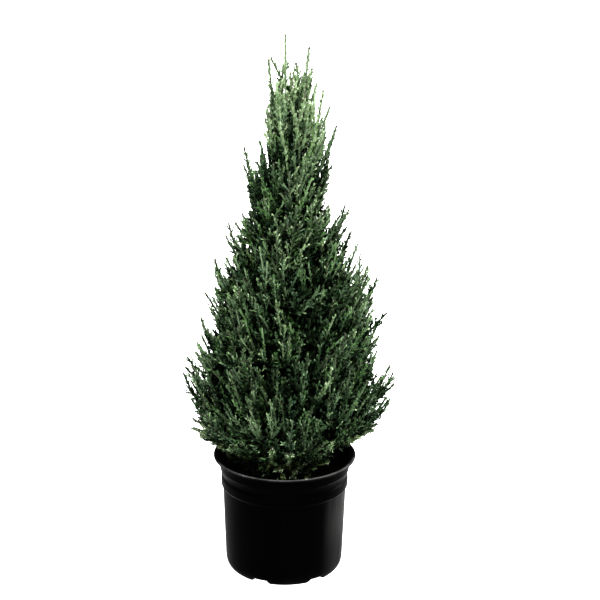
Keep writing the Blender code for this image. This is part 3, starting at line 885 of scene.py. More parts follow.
@dataclass
class PottingMix:
    """The bark compost that fills the pot: a rough surface with loose chips on it.

    The sides run down through wall_radii at wall_heights, the last of them at the mix's own
    foot. Waves are given in radians for each metre.
    """

    edge_height: float = 0.2185
    top_height: float = 0.2222
    seat_radius: float = 0.03
    edge_radius: float = 0.1332
    first_ring: float = 0.004
    rings: int = 40
    spokes: int = 120
    wall_radii: Edges = (0.1289, 0.1276, 0.1222, 0.114)
    wall_heights: Triple = (0.208, 0.178, 0.0262)
    rough: float = 0.0016
    waves: Triple = (95.0, 231.0, 522.0)
    chips: int = 900
    chip_size: Pair = (0.0018, 0.0062)
    chip_power: float = 2.5
    chip_width: Pair = (0.4, 0.8)
    chip_depth: Pair = (0.2, 0.5)
    chip_uneven: Pair = (0.65, 1.0)
    chip_reach: float = 0.975
    chip_margin: float = 0.0005
    soil: BarkCompost = BarkCompost("bark_compost")
    chip: BarkCompost = BarkCompost(
        "bark_chips", (0.018, 0.011, 0.007), (0.06, 0.038, 0.022), (0.12, 0.085, 0.055)
    )

    def surface_height(self, x: Array, y: Array) -> Array:
        """Return the surface's height at points.

        It is a low cone from the trunk's seat to the pot's wall, plus half the roughness times
        three waves, sines of x times cosines of y, which fade out on the seat.

        Args:
            x: The points' x.
            y: The points' y.

        Returns:
            The heights.
        """
        radius = np.hypot(x, y)
        cone = np.interp(radius, (self.seat_radius, self.edge_radius), (self.top_height, self.edge_height))
        waves = sum(
            np.sin(x * f + 2.1 * k) * np.cos(y * f * 1.13 + 1.3 * k) / (k + 1.0)
            for k, f in enumerate(self.waves)
        )
        return cone + self.rough * 0.5 * waves * np.clip(radius / self.seat_radius - 0.6, 0.0, 1.0)

    def build_surface(self, node: str) -> Shell:
        """Return the plug: point (i, j) at radius r(i), turn j and the surface's height there.

        Args:
            node: The mix's node, whose foot is the plug's.

        Returns:
            The waved top and the sides, closed at the middle and at the foot.
        """
        count = self.spokes
        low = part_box(node)[0].z
        radii = np.append(np.linspace(self.first_ring, self.edge_radius, self.rings), self.wall_radii)
        turn = np.linspace(0.0, math.tau, count, endpoint=False)[None, :]
        x, y = radii[:, None] * np.cos(turn), radii[:, None] * np.sin(turn)
        z = self.surface_height(x, y)
        z[-len(self.wall_radii):] = np.append(self.wall_heights, low)[:, None]
        grid = np.stack((x, y, z), axis=-1)
        middle = (0.0, 0.0, float(self.surface_height(np.zeros(1), np.zeros(1))[0]))
        points = np.concatenate((grid.reshape(-1, 3), (middle, (0.0, 0.0, low))))
        quads = grid_faces(len(radii), count).reshape(-1, 4)[:, ::-1]
        column, after = ring(count)
        centre, last = len(radii) * count, (len(radii) - 1) * count
        caps = (fan(centre, column, after), fan(centre + 1, last + after, last + column))
        return Shell(points, [quads, np.concatenate(caps)])

    def build_chips(self, chance: Chance) -> Shell:
        """Return loose chips: each an uneven eight-cornered block, tilted, on the surface.

        Args:
            chance: Seeded random numbers.

        Returns:
            The chips as one shell.
        """
        count = self.chips
        radius = self.edge_radius * self.chip_reach * np.sqrt(chance.uniform(0.05, 1.0, count))
        turn = chance.uniform(0.0, math.tau, count)
        x, y = radius * np.cos(turn), radius * np.sin(turn)
        least, most = self.chip_size
        size = least + (most - least) * chance.random(count) ** self.chip_power
        reach = np.minimum(size, self.edge_radius - self.chip_margin - radius)
        width, depth = chance.uniform(*self.chip_width, count), chance.uniform(*self.chip_depth, count)
        shape = np.stack((reach, reach * width, reach * depth), 1)
        signs = np.array([(a, b, c) for c in (-1, 1) for b in (-1, 1) for a in (-1, 1)]) * 0.5
        block = signs[None] * shape[:, None, :] * chance.uniform(*self.chip_uneven, (count, 8, 3))
        heading = unit(chance.normal(size=(count, 3)) * (1.0, 1.0, 0.35))
        level, upright = side_axes(heading)
        axes = np.stack((heading, level, upright), axis=1)
        centre = np.stack((x, y, self.surface_height(x, y) + shape[:, 2] * 0.3), 1)
        points = centre[:, None, :] + block @ axes
        pattern = np.array(
            ((0, 2, 3, 1), (4, 5, 7, 6), (0, 1, 5, 4), (2, 6, 7, 3), (0, 4, 6, 2), (1, 3, 7, 5))
        )
        faces = (np.arange(count) * 8)[:, None, None] + pattern
        return Shell(points.reshape(-1, 3), [faces.reshape(-1, 4)])

    def dress(self, chance: Chance) -> None:
        """Make the surface's piece and the chips' piece."""
        node = "potting_mix"
        surface = make_piece("compost_surface", self.build_surface(node), [self.soil.material()], True)
        hand_over(surface, [node])
        chips = make_piece("compost_chips", self.build_chips(chance), [self.chip.material()], False)
        hand_over(chips, [node])


# ---- wood


@dataclass(frozen=True)
class TrunkLine:
    """The trunk's middle line, taper and root flare, as its solid has them."""

    foot: Triple = (0.003, 0.004, 0.2228)
    top: Triple = (-0.003, 0.001, 0.93)
    foot_radius: float = 0.0135
    top_radius: float = 0.0022
    taper_power: float = 0.9
    sway: float = 0.003
    sways: float = 1.6
    flare: float = 0.0075
    flare_height: float = 0.014
    lobes: float = 3.0
    lobe_share: float = 0.45
    low_rings: tuple[float, ...] = (0.0, 0.006, 0.014, 0.028)
    ring_pitch: float = 0.09
    core: Pair = (0.052, 0.0085)

    def ring_heights(self) -> Array:
        """Return the heights of the solid's rings, between which it runs straight."""
        low = [self.foot[2] + step for step in self.low_rings]
        count = math.ceil((self.top[2] - low[-1]) / self.ring_pitch)
        return np.array(low + list(np.linspace(low[-1], self.top[2], count + 1)[1:]))

    def share(self, height: Array) -> Array:
        """Return heights as shares of the trunk's height."""
        return np.clip((height - self.foot[2]) / (self.top[2] - self.foot[2]), 0.0, 1.0)

    def axis(self, height: Array) -> Array:
        """Return the trunk's centre at heights.

        At the rings it is the straight line from foot to top plus a sway, which is a sine of
        the share of the height times that share and what is left of it; it runs straight
        between them.

        Args:
            height: Heights.

        Returns:
            The centres' x and y.
        """
        rings = self.ring_heights()
        share = self.share(rings)
        sway = self.sway * np.sin(math.tau * self.sways * share) * share * (1.0 - share) * 4.0
        x = self.foot[0] + share * (self.top[0] - self.foot[0]) + sway
        y = self.foot[1] + share * (self.top[1] - self.foot[1]) - sway
        return np.stack((np.interp(height, rings, x), np.interp(height, rings, y)), axis=-1)

    def off_axis(self, points: Array) -> Array:
        """Return how far points lie from the trunk's centre at their own height."""
        return np.linalg.norm(points[:, :2] - self.axis(points[:, 2]), axis=1)

    def radius(self, height: Array, turn: Array) -> Array:
        """Return the trunk's radius.

        It is an even taper, plus a flare that dies out with the height and stands out in
        lobes, by the cosine of the turn times their number.

        Args:
            height: Heights.
            turn: Turns round the trunk.

        Returns:
            The radii.
        """
        left = (1.0 - self.share(height)) ** self.taper_power
        taper = self.top_radius + (self.foot_radius - self.top_radius) * left
        lobe = 1.0 + self.lobe_share * np.cos(self.lobes * turn)
        return taper + self.flare * lobe * np.exp(-(height - self.foot[2]) / self.flare_height)

    def core_radius(self, height: Array) -> Array:
        """Return the radius of the bare zone round the trunk at heights."""
        return self.core[0] + self.share(height) * (self.core[1] - self.core[0])


TRUNK = TrunkLine()

# Waves in the bark. A drift is its height, turns for each metre and share of the phase; a strip
# is its height, turns round the stem, and shares of the drift, the run and the phase.
BARK_DRIFTS = ((1.8, 21.0, 1.0), (0.9, 57.0, 2.0))
BARK_STRIPS = ((1.0, 7.0, 1.0, 0.0, 1.0), (0.7, 12.0, -1.3, 40.0, 0.0), (0.5, 19.0, 2.1, -90.0, 1.0))
BARK_DEPTH = 0.085
BARK_UV_SCALE = 10.0
LEAST_SIDES = 20


def bark_relief(turn: Array, run: Array, radius: Array, phase: float) -> Array:
    """Return how far bark stands in or out at points of a stem.

    Strips run up the stem and wander: the sum of sines of the turn, whose phases drift with
    the run, sharpened by a square root so that ridges are broad and grooves narrow.

    Args:
        turn: The angle round the stem.
        run: The length along it.
        radius: Its own radius.
        phase: A number that makes its strips its own.

    Returns:
        The offset from the radius.
    """
    drift = sum(high * np.sin(run * rate + part * phase) for high, rate, part in BARK_DRIFTS)
    waves = sum(
        high * np.sin(turns * turn + drifts * drift + run * rate + part * phase)
        for high, turns, drifts, rate, part in BARK_STRIPS
    )
    whole = sum(strip[0] for strip in BARK_STRIPS)
    return radius * BARK_DEPTH * (np.sqrt(np.clip(waves / whole * 0.5 + 0.5, 0.0, 1.0)) - 0.75)


def relief_tube(
    centre: Array, level: Array, upright: Array,
    radius: Array, run: Array, phase: float,
) -> Shell:
    """Return one stem with bark relief, closed at both ends.

    Point (i, j) lies at centre(i) + (radius(i, j) + relief) times the direction at turn j
    round the stem; UVs are the turn as a share, and the run in metres times BARK_UV_SCALE.

    Args:
        centre: The middle line, shaped (rings, 3).
        level: One direction square to it at each ring.
        upright: The other direction.
        radius: Radii shaped (rings, sides), or (rings, 1).
        run: The length along the stem at each ring.
        phase: A number that makes its strips its own.

    Returns:
        The stem's shell with UVs.
    """
    rings = len(centre)
    sides = max(radius.shape[1], LEAST_SIDES)
    turn = np.linspace(0.0, math.tau, sides, endpoint=False)[None, :]
    full = radius + bark_relief(turn, run[:, None], radius, phase)
    across = np.cos(turn)[..., None] * level[:, None, :] + np.sin(turn)[..., None] * upright[:, None, :]
    grid = centre[:, None, :] + full[..., None] * across
    points = np.concatenate((grid.reshape(-1, 3), centre[:1], centre[-1:]))
    column, after = ring(sides)
    last = (rings - 1) * sides
    foot = fan(rings * sides, after, column)
    tip = fan(rings * sides + 1, last + column, last + after)
    share = np.stack((column, column + 1, column + 1, column), 1) / sides
    height = np.stack((run[:-1], run[:-1], run[1:], run[1:]), 1) * BARK_UV_SCALE
    quad_uvs = np.stack(np.broadcast_arrays(share[None], height[:, None]), axis=-1)
    cap = np.stack((column + 0.5, column + 1, column), 1) / sides
    foot_uvs = np.stack((cap, np.full((sides, 3), run[0] * BARK_UV_SCALE)), axis=-1)
    tip_uvs = np.stack((cap[:, (0, 2, 1)], np.full((sides, 3), run[-1] * BARK_UV_SCALE)), axis=-1)
    faces = [grid_faces(rings, sides).reshape(-1, 4), foot, tip]
    return Shell(points, faces, None, [quad_uvs, foot_uvs, tip_uvs])


@dataclass
class Trunk:
    """The trunk with its stringy bark, from the flat cut at the mix to the leader's foot."""

    line: TrunkLine = TRUNK
    sides: int = 72
    rings: int = 260
    ring_power: float = 1.25
    phase: float = 0.4
    finish: StringyBark = StringyBark("trunk_bark")

    def build(self) -> Shell:
        """Return the trunk's shell: rings of its radius with bark relief on it."""
        share = np.linspace(0.0, 1.0, self.rings) ** self.ring_power
        height = self.line.foot[2] + share * (self.line.top[2] - self.line.foot[2])
        turn = np.linspace(0.0, math.tau, self.sides, endpoint=False)[None, :]
        radius = self.line.radius(height[:, None], turn)
        centre = np.concatenate((self.line.axis(height), height[:, None]), axis=1)
        level = np.broadcast_to((1.0, 0.0, 0.0), centre.shape)
        upright = np.broadcast_to((0.0, 1.0, 0.0), centre.shape)
        return relief_tube(centre, level, upright, radius, height, self.phase)

    def dress(self) -> None:
        """Make the trunk's piece."""
        piece = make_piece("trunk_stem", self.build(), [self.finish.material()], True, "stem")
        hand_over(piece, ["trunk"])


@dataclass(frozen=True)
class Tip:
    """Where a limb ends, and how far it sways sideways on its way."""

    azimuth: float
    reach: float
    height: float
    sway: float = 0.0

    def point(self) -> Array:
        """Return the tip as a point."""
        turn = math.radians(self.azimuth)
        return np.array((self.reach * math.cos(turn), self.reach * math.sin(turn), self.height))


@dataclass(frozen=True)
class Tier:
    """A tier of the crown: its limbs' rise, bow and thickness, and how its plumes grow.

    Tone is its usual tint, spacing the distance between plumes, lean their angle at the crown's
    edge, inner_odds the odds of one deep in the crown and juvenile those of young leaves. The
    collar reaches down round the trunk. Plumes stay bare_top below the limb's tip, except for
    free tips, whose points are given in millimetres.
    """

    name: str
    rise: float
    bow: float
    bough_radius: float
    slot: str
    tone: float
    spacing: float
    plume: float
    side_shoot: float
    lean: float
    inner_odds: float
    tips: tuple[Tip, ...]
    juvenile: float = 0.0
    collar: float = 0.0
    bare_top: float = 0.0
    free: tuple[tuple[int, int, int], ...] = ()


@dataclass(frozen=True)
class Limb:
    """One limb's curve from the trunk's middle to its tip."""

    name: str
    tier: Tier
    curve: Curves
    start: float

    @property
    def mass(self) -> str:
        """Return the name of the limb's mass of needles."""
        return f"mass_{self.name}"

    @property
    def bough(self) -> str:
        """Return the name of the limb's bough."""
        return f"bough_{self.name}"


TIERS = (
    Tier(
        "leader", 0.192, 0.5, 0.0022, "needles_top", 4.4, 0.0215, 0.08, 0.011, 12.0, 0.8,
        (Tip(180.0, 0.004, 1.122),), collar=0.075, bare_top=0.085,
        free=(
            (-8, 10, 1064), (17, -8, 1068), (6, -18, 1046), (14, 22, 1052), (-16, -10, 1034), (24, 6, 1036),
            (-14, 18, 1030),
        ),
    ),
    Tier(
        "top", 0.19, 0.72, 0.0018, "needles_top", 4.25, 0.021, 0.085, 0.012, 17.0, 0.7,
        (
            Tip(337.0, 0.046, 1.1, 0.05718), Tip(163.0, 0.038, 1.073, 0.04449),
            Tip(10.0, 0.072, 1.012, -0.03507),
        ),
        collar=0.03, bare_top=0.055,
        free=(
            (48, -16, 1058), (-30, 4, 1076), (36, -26, 1028), (57, 4, 1024), (83, 10, 978), (-39, -4, 978),
            (-32, -16, 1030), (40, 30, 1034),
        ),
    ),
    Tier(
        "spire", 0.165, 0.74, 0.0022, "needles_top", 2.3, 0.0215, 0.09, 0.013, 21.0, 0.5,
        (
            Tip(327.0, 0.114, 0.955, -0.04343), Tip(100.0, 0.082, 0.968, 0.03352),
            Tip(212.0, 0.098, 0.911, 0.06166),
        ),
        collar=0.02, free=((90, -10, 868), (-84, -20, 868)),
    ),
    Tier(
        "neck", 0.17, 0.74, 0.0027, "needles", 2.6, 0.0222, 0.09, 0.0138, 24.0, 0.4,
        (
            Tip(36.0, 0.106, 0.865, -0.04248), Tip(158.0, 0.08, 0.85, 0.06302),
            Tip(273.0, 0.092, 0.872, 0.05351),
        ),
    ),
    Tier(
        "shoulder", 0.17, 0.76, 0.0032, "needles", 2.5, 0.0226, 0.09, 0.0142, 26.0, 0.3,
        (
            Tip(4.0, 0.119, 0.785, 0.01449), Tip(98.0, 0.122, 0.775, -0.011),
            Tip(183.0, 0.116, 0.748, -0.05546), Tip(262.0, 0.124, 0.765, -0.06458),
        ),
        free=(
            (121, -10, 770), (-86, -10, 765), (22, -108, 800), (48, -100, 806), (70, -86, 790),
            (0, -112, 786),
        ),
    ),
    Tier(
        "upper", 0.185, 0.78, 0.004, "needles", 2.45, 0.023, 0.09, 0.0145, 28.0, 0.2,
        (
            Tip(331.0, 0.184, 0.684, 0.06478), Tip(52.0, 0.165, 0.69, -0.03662),
            Tip(146.0, 0.18, 0.645, 0.02864), Tip(236.0, 0.17, 0.662, -0.03402),
        ),
        free=((150, -10, 688), (130, -20, 735), (-118, -10, 672)),
    ),
    Tier(
        "middle", 0.185, 0.8, 0.0046, "needles", 2.05, 0.0234, 0.09, 0.0145, 31.0, 0.15,
        (
            Tip(15.0, 0.196, 0.622, 0.04532), Tip(92.0, 0.2, 0.555, 0.01351),
            Tip(178.0, 0.175, 0.548, -0.02892), Tip(246.0, 0.2, 0.53, -0.04544),
            Tip(306.0, 0.198, 0.565, 0.03085),
        ),
        0.08, free=((-163, -10, 602), (206, -4, 560)),
    ),
    Tier(
        "skirt", 0.165, 0.78, 0.005, "needles", 1.6, 0.0232, 0.085, 0.014, 35.0, 0.15,
        (
            Tip(347.0, 0.225, 0.446, -0.06037), Tip(38.0, 0.222, 0.42, -0.03802),
            Tip(98.0, 0.218, 0.44, 0.00831), Tip(170.0, 0.217, 0.412, 0.04934),
            Tip(222.0, 0.217, 0.405, 0.016), Tip(284.0, 0.216, 0.425, -0.03077),
        ),
        0.8,
        free=(
            (-200, -10, 462), (-206, -4, 440), (217, 0, 446), (-196, -20, 312), (-190, 10, 300),
            (184, -10, 305), (-193, -20, 374), (-187, 20, 350), (-185, -40, 338), (-178, -30, 302),
            (-172, 20, 300), (212, -10, 370), (200, 20, 345), (186, -30, 327), (172, 10, 297),
            (-78, -75, 282), (-59, -85, 269), (-38, -100, 286), (-46, -100, 259), (-24, -110, 273),
            (-11, -112, 257), (9, -110, 268), (25, -114, 257), (44, -105, 269), (62, -106, 260),
            (76, -100, 283), (88, -90, 265),
        ),
    ),
)

# The crown's reach to the left and right at heights
CROWN_OUTLINE = (
    (0.25, 0.138, 0.138),
    (0.3, 0.184, 0.172),
    (0.34, 0.19, 0.2),
    (0.39, 0.2, 0.213),
    (0.44, 0.2, 0.213),
    (0.51, 0.162, 0.19),
    (0.6, 0.158, 0.172),
    (0.7, 0.112, 0.135),
    (0.79, 0.066, 0.078),
    (0.89, 0.072, 0.076),
    (0.93, 0.044, 0.084),
    (0.985, 0.034, 0.066),
    (1.04, 0.028, 0.046),
    (1.1, 0.012, 0.02),
)


def crown_share(points: Array) -> Array:
    """Return how far out points lie, as a share of the crown's reach at their height.

    The reach between the left's and the right's goes by the cosine of the azimuth.

    Args:
        points: Points.

    Returns:
        Their distances from the axis over the reaches.
    """
    heights, left, right = (np.array(column) for column in zip(*CROWN_OUTLINE))
    towards_right = 0.5 + 0.5 * np.cos(np.arctan2(points[:, 1], points[:, 0]))
    left = np.interp(points[:, 2], heights, left)
    right = np.interp(points[:, 2], heights, right)
    return np.hypot(points[:, 0], points[:, 1]) / (left + (right - left) * towards_right)


CURVE_STEP = 0.002


def plan_limbs() -> list[Limb]:
    """Lay out every limb as its solids have it.

    A limb's curve is the quadratic curve from the trunk's middle, held by a bend that lies
    outwards by its bow and sideways by its sway, raised to a cubic. Its mass starts where the
    curve leaves the bare zone round the trunk.

    Returns:
        The limbs, from the leader down.
    """
    limbs = []
    for tier in TIERS:
        for number, tip in enumerate(tier.tips):
            end = tip.point()
            height = max(tip.height - tier.rise, 0.0)
            foot = np.append(TRUNK.axis(np.array(height)), height)
            outward = (end - foot) * LEVEL
            sideways = np.array((-outward[1], outward[0], 0.0)) * tip.sway
            bend = foot + outward * tier.bow + sideways
            bend[2] = height + tier.rise * (1.0 - tier.bow)
            holds = np.stack((foot, foot + (bend - foot) * 2 / 3, end + (bend - end) * 2 / 3, end))
            curve = Curves(holds[None])
            places = np.arange(0.0, 1.0, CURVE_STEP)
            spots = curve.point(np.zeros(len(places), int), places)
            out = TRUNK.off_axis(spots) >= TRUNK.core_radius(spots[:, 2])
            leader = tier.name == "leader"
            start = 0.0 if leader else float(places[np.argmax(out)])
            name = tier.name if leader else f"{tier.name}_{number + 1}"
            limbs.append(Limb(name, tier, curve, start))
    return limbs


@dataclass
class Boughs:
    """One tier's boughs with bark relief, each carried on through its mass to the limb's tip."""

    tier: Tier
    limbs: list[Limb]
    rings: int = 64
    probes: int = 60
    seat_share: float = 0.55
    end: float = 0.94
    end_share: float = 0.62
    tip_radius: float = 0.0007

    def build_limb(self, limb: Limb, phase: float) -> Shell:
        """Return one limb's stem: it tapers to the mass, then on to a thin tip.

        Args:
            limb: The limb, which starts inside the trunk.
            phase: A number that makes its strips of bark its own.

        Returns:
            The stem's shell.
        """
        one = np.zeros(self.rings, int)
        probe = np.linspace(0.0, limb.start, self.probes)
        spots = limb.curve.point(np.zeros(self.probes, int), probe)
        seat = TRUNK.radius(spots[:, 2], np.zeros(self.probes)) * self.seat_share
        out = TRUNK.off_axis(spots) >= seat
        first = float(probe[np.argmax(out)]) if limb.start > 0.0 else 0.0
        places = np.linspace(first, self.end, self.rings)
        centre = limb.curve.point(one, places)
        level, upright = side_axes(limb.curve.heading(one, places))
        thick = self.tier.bough_radius
        stops = (first, max(limb.start, first + 1e-4), self.end)
        radius = np.interp(places, stops, (thick, thick * self.end_share, self.tip_radius))
        run = np.append(0.0, np.cumsum(np.linalg.norm(np.diff(centre, axis=0), axis=1)))
        return relief_tube(centre, level, upright, radius[:, None], run, phase)

    def dress(self, material: Material) -> None:
        """Make the tier's piece of boughs."""
        shells = [self.build_limb(limb, 0.3 + 1.7 * number) for number, limb in enumerate(self.limbs)]
        piece = make_piece(f"boughs_{self.tier.name}", merged(shells), [material], True, "stem")
        nodes = [limb.bough for limb in self.limbs if limb.start > 0.0]
        hand_over(piece, nodes or [self.limbs[0].mass])


# ---- needles


class Leaf(Enum):
    """The two kinds of leaf: pressed scales on grown shoots, and open awls on young ones."""

    SCALE = 0
    AWL = 1


@dataclass(frozen=True)
class LeafShape:
    """A leaf's size, how leaves stand on a shoot, and how much their tones differ."""

    length: float
    width: float
    angle: float
    whorl: int
    pitch: float
    keel: float
    speckle: float


LEAF_SHAPES = {
    Leaf.SCALE: LeafShape(0.007, 0.0035, 10.0, 2, 0.0046, 0.22, 0.28),
    Leaf.AWL: LeafShape(0.006, 0.002, 44.0, 3, 0.0031, 0.15, 0.75),
}


class Lead(IntEnum):
    """Whether a shoot is a side shoot or leads its spray, with a green, dry or free tip."""

    SIDE = 0
    GREEN = 1
    DRY = 2
    FREE = 3


@dataclass
class Skeleton:
    """The points that branchlets may stand on, each with its way and the wood's radius."""

    nodes: Array
    ways: Array
    stout: Array
    close: float = 0.02
    above_cost: float = 1.5
    least_climb: float = 0.8

    def add(self, nodes: Array, ways: Array, stout: Array) -> None:
        """Add points."""
        self.nodes = np.concatenate((self.nodes, nodes))
        self.ways = np.concatenate((self.ways, ways))
        self.stout = np.append(self.stout, stout)

    def parent(self, goal: Array, foot: Array) -> int:
        """Return the point that a branchlet grows from.

        The cost of a point is its distance from the wished foot, plus a cost for lying above
        it, for a climb that is flatter than the least one, and for being too close to the goal.

        Args:
            goal: Where the branchlet ends.
            foot: Where it would best begin.

        Returns:
            The number of the point with the least cost.
        """
        climb = goal - self.nodes
        gap = np.linalg.norm(foot - self.nodes, axis=1)
        above = np.maximum(0.0, self.nodes[:, 2] - foot[2])
        close = np.linalg.norm(climb, axis=1) < self.close
        flat = np.hypot(climb[:, 0], climb[:, 1]) - self.least_climb * climb[:, 2]
        cost = gap + self.above_cost * above + np.maximum(0.0, flat) + np.where(close, 1.0, 0.0)
        return int(np.argmin(cost))


@dataclass
class Branching:
    """One mass's branchlets: their curves, with a radius, a leafy place, a tone and a kind."""

    curves: Curves
    radius: Array
    leafy_from: Array
    tone: Array
    cast: Array
    young: Array
    filler: Array
    lead: Array


@dataclass
class Shoots:
    """Leafy axes: their curves, with a tone at the foot, its rise, a cast and a kind.

    The rise gives paler young tips, and painted shade towards the foot.
    """

    curves: Curves
    tone: Array
    rise: Array
    cast: Array
    young: Array
    filler: Array
    lead: Array

    def joined(self, other: Shoots) -> Shoots:
        """Return these shoots followed by others."""
        curves = Curves(np.concatenate((self.curves.holds, other.curves.holds)))
        names = ("tone", "rise", "cast", "young", "filler", "lead")
        return Shoots(curves, *(np.concatenate((getattr(self, n), getattr(other, n))) for n in names))

    def side_shoots(self, curves: Curves, owner: Array, tone: Array, rise: float) -> Shoots:
        """Return shoots on these, which take their cast and kind from the one they stand on."""
        total = len(owner)
        kinds = (self.cast[owner], self.young[owner], self.filler[owner])
        return Shoots(curves, tone, np.full(total, rise), *kinds, np.full(total, Lead.SIDE))


@dataclass
class NeedleMass:
    """One mass of needles, grown on from its limb by a seeded branching rule.

    Angles are in degrees, and tones are tint numbers from dark to pale. A share is a distance
    from the axis over the crown's reach there.
    """

    limb: Limb
    # where branchlets end: plumes out to the crown's surface, with fillers behind them
    plume_shares: Pair = (0.42, 0.7)
    filler_shares: Pair = (0.7, 0.88)
    filler_spacing: float = 0.0215
    filler_plume: float = 0.045
    filler_drop: float = 0.8
    goal_jitter: float = 0.48
    cleft_margin: float = 0.013
    cleft_share: float = 0.9
    collar_reach: float = 0.03
    narrow_from: float = 0.84
    narrow_share: float = 0.45
    rim_clear: Triple = (0.106, 0.262, 0.29)
    rim_run: float = 0.03
    # flames: upright groups of plumes
    flame_spacing: float = 0.044
    flame_stretch: Triple = (1.0, 1.0, 1.5)
    flame_jitter: float = 0.4
    flame_pull: float = 0.42
    flame_rise: float = 0.016
    flame_core: float = 0.7
    crest_gap: float = 0.004
    # companions that make a free tip a spray: their inset, offset sideways and drop
    spray_heights: Pair = (0.33, 0.9)
    mates: tuple[Triple, ...] = ((0.01, 0.013, 0.026), (0.016, -0.013, 0.044))
    mate_jitter: float = 0.003
    # how plumes arrive
    low_lean: float = 50.0
    low_from: Pair = (0.37, 0.09)
    lean_spread: float = 8.0
    turn_spread: float = 0.03
    filler_loose: Pair = (0.12, 0.5)
    plume_spread: Pair = (0.75, 1.3)
    free_plume: float = 1.3
    # branchlets
    spine_places: tuple[float, float, int] = (0.0, 0.88, 26)
    spine_tip: float = 0.0008
    collar_nodes: tuple[int, float] = (10, 0.05)
    spike_reach: float = 0.006
    foot_drop: float = 0.85
    fork_from: float = 0.04
    fork_places: tuple[float, float, int] = (0.15, 0.65, 4)
    tip_radius: float = 0.0005
    # tones and kinds
    crown_edge: Pair = (0.5, 0.4)
    pale_top: Pair = (0.9, 0.1)
    # painted shade: tones drop deep in the crown, inside the crown's edge share and below the pale top
    inner_shade: float = 1.5
    flame_tones: float = 0.35
    plume_tones: float = 0.4
    # painted shade: fillers behind the plumes take dark tones for the crown's inside
    filler_shade_tones: Pair = (0.2, 1.2)
    low_light: Triple = (0.34, 0.05, 1.5)
    young_below: Pair = (0.35, 0.05)
    young_light: float = 0.9
    # painted shade: free tips at the sides and back, above the young leaves, get darker tones
    free_shade: float = 0.8
    free_front: float = -0.06
    dry_share: float = 0.3
    # side shoots
    shoot_pitch: float = 0.0068
    filler_pitch: float = 0.01
    feathered: float = 0.93
    shoot_lean: Triple = (36.0, 6.0, 5.0)
    shoot_tones: float = 0.85
    shoot_scale: float = 1.16
    free_scale: float = 1.45
    filler_shoot: float = 0.015
    least_shoot: float = 0.0105
    # rise along a plume: paler young tips, and painted shade towards the foot
    plume_rise: float = 2.7
    filler_rise: float = 0.4
    middle: float = 0.55
    sprig_from: float = 0.018
    sprig_lean: Pair = (32.0, 5.0)
    sprig_rise: float = 1.2
    # leaves
    tall: Pair = (0.9, 1.0)
    tall_leaf: Pair = (1.22, 1.42)
    tall_ajar: Pair = (1.3, 0.9)
    tall_core: Pair = (1.0, 1.25)
    filler_leaf: float = 1.6
    filler_gap: float = 1.9
    shoulder: float = 0.42
    core_radius: float = 0.0021
    spike_radius: float = 0.002

    def __post_init__(self) -> None:
        """Keep a tree of the mass's own solid to test points against."""
        mesh = frame["nodes"][self.limb.mass].data
        corners = [tuple(vertex.co) for vertex in mesh.vertices]
        self.solid = BVHTree.FromPolygons(corners, [tuple(face.vertices) for face in mesh.polygons])

    def contains(self, point: Array) -> bool:
        """Tell whether a point is in the mass: a ray from it leaves an odd number of times.

        Args:
            point: The point.

        Returns:
            Whether it is.
        """
        ray, start, hits = np.array((0.131, 0.257, 0.957)), tuple(point), 0
        while True:
            spot, _, _, _ = self.solid.ray_cast(start, tuple(ray))
            if spot is None:
                return hits % 2 == 1
            hits += 1
            start = tuple(np.array(spot) + ray * 1e-5)

    def claims(self, point: Array, share: float) -> bool:
        """Tell whether a point is the mass's: in it, in its collar, or close to it in a cleft.

        Args:
            point: The point.
            share: Its share of the crown's reach.

        Returns:
            Whether it is.
        """
        if share < self.cleft_share and self.solid.find_nearest(tuple(point), self.cleft_margin)[0]:
            return True
        if self.limb.tier.collar and np.hypot(*(point[:2] - TRUNK.axis(point[2]))) < self.collar_reach:
            return True
        return self.contains(point)

    def goals(self, pitch: float, shares: Pair, odds: Pair, chance: Chance) -> Array:
        """Return where branchlets end: a jittered grid in the mass, thinned by crown share.

        Args:
            pitch: The grid's pitch.
            shares: Two shares of the crown's reach.
            odds: The odds of keeping a point at each of the two.
            chance: Seeded random numbers.

        Returns:
            The kept points.
        """
        low, high = (np.array(corner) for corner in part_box(self.limb.mass))
        edge = self.cleft_margin
        low[2] -= self.limb.tier.collar
        axes = [np.arange(low[k] - edge, high[k] + edge + pitch / 2, pitch) for k in range(3)]
        grid = np.stack(np.meshgrid(*axes, indexing="ij"), axis=-1).reshape(-1, 3)
        grid = grid + chance.uniform(-self.goal_jitter, self.goal_jitter, grid.shape) * pitch
        share = crown_share(grid)
        kept = np.flatnonzero(chance.random(len(grid)) < np.interp(share, shares, odds))
        return np.array([grid[k] for k in kept if self.claims(grid[k], share[k])]).reshape(-1, 3)

    def gather(self, goals: Array, chance: Chance) -> tuple[Array, Array]:
        """Draw goals together into upright flames with gaps between them.

        Each goal moves sideways towards the axis of the nearest of a jittered grid of flames,
        but never inwards, and rises by how close to that axis it stands.

        Args:
            goals: Where plumes would end.
            chance: Seeded random numbers.

        Returns:
            The moved goals, and each one's flame.
        """
        low, high = goals.min(axis=0), goals.max(axis=0)
        pitch = self.flame_spacing * np.array(self.flame_stretch)
        axes = [np.arange(low[k], high[k] + pitch[k], pitch[k]) for k in range(3)]
        flames = np.stack(np.meshgrid(*axes, indexing="ij"), axis=-1).reshape(-1, 3)
        flames = flames + chance.uniform(-self.flame_jitter, self.flame_jitter, flames.shape) * pitch
        apart = (goals[:, None, :] - flames[None]) / pitch
        owner = np.argmin(np.linalg.norm(apart, axis=2), axis=1)
        outward = unit(goals * LEVEL)
        aside = (flames[owner] - goals) * LEVEL
        inward = np.minimum(0.0, (aside * outward).sum(axis=1, keepdims=True))
        reach = self.flame_core * self.flame_spacing
        near = np.clip(1.0 - np.linalg.norm(aside, axis=1) / reach, 0.0, 1.0)
        moved = goals + self.flame_pull * (aside - inward * outward)
        moved[:, 2] += self.flame_rise * near
        moved[:, 2] = np.minimum(moved[:, 2], np.maximum(goals[:, 2], high[2] - self.crest_gap))
        return moved, owner

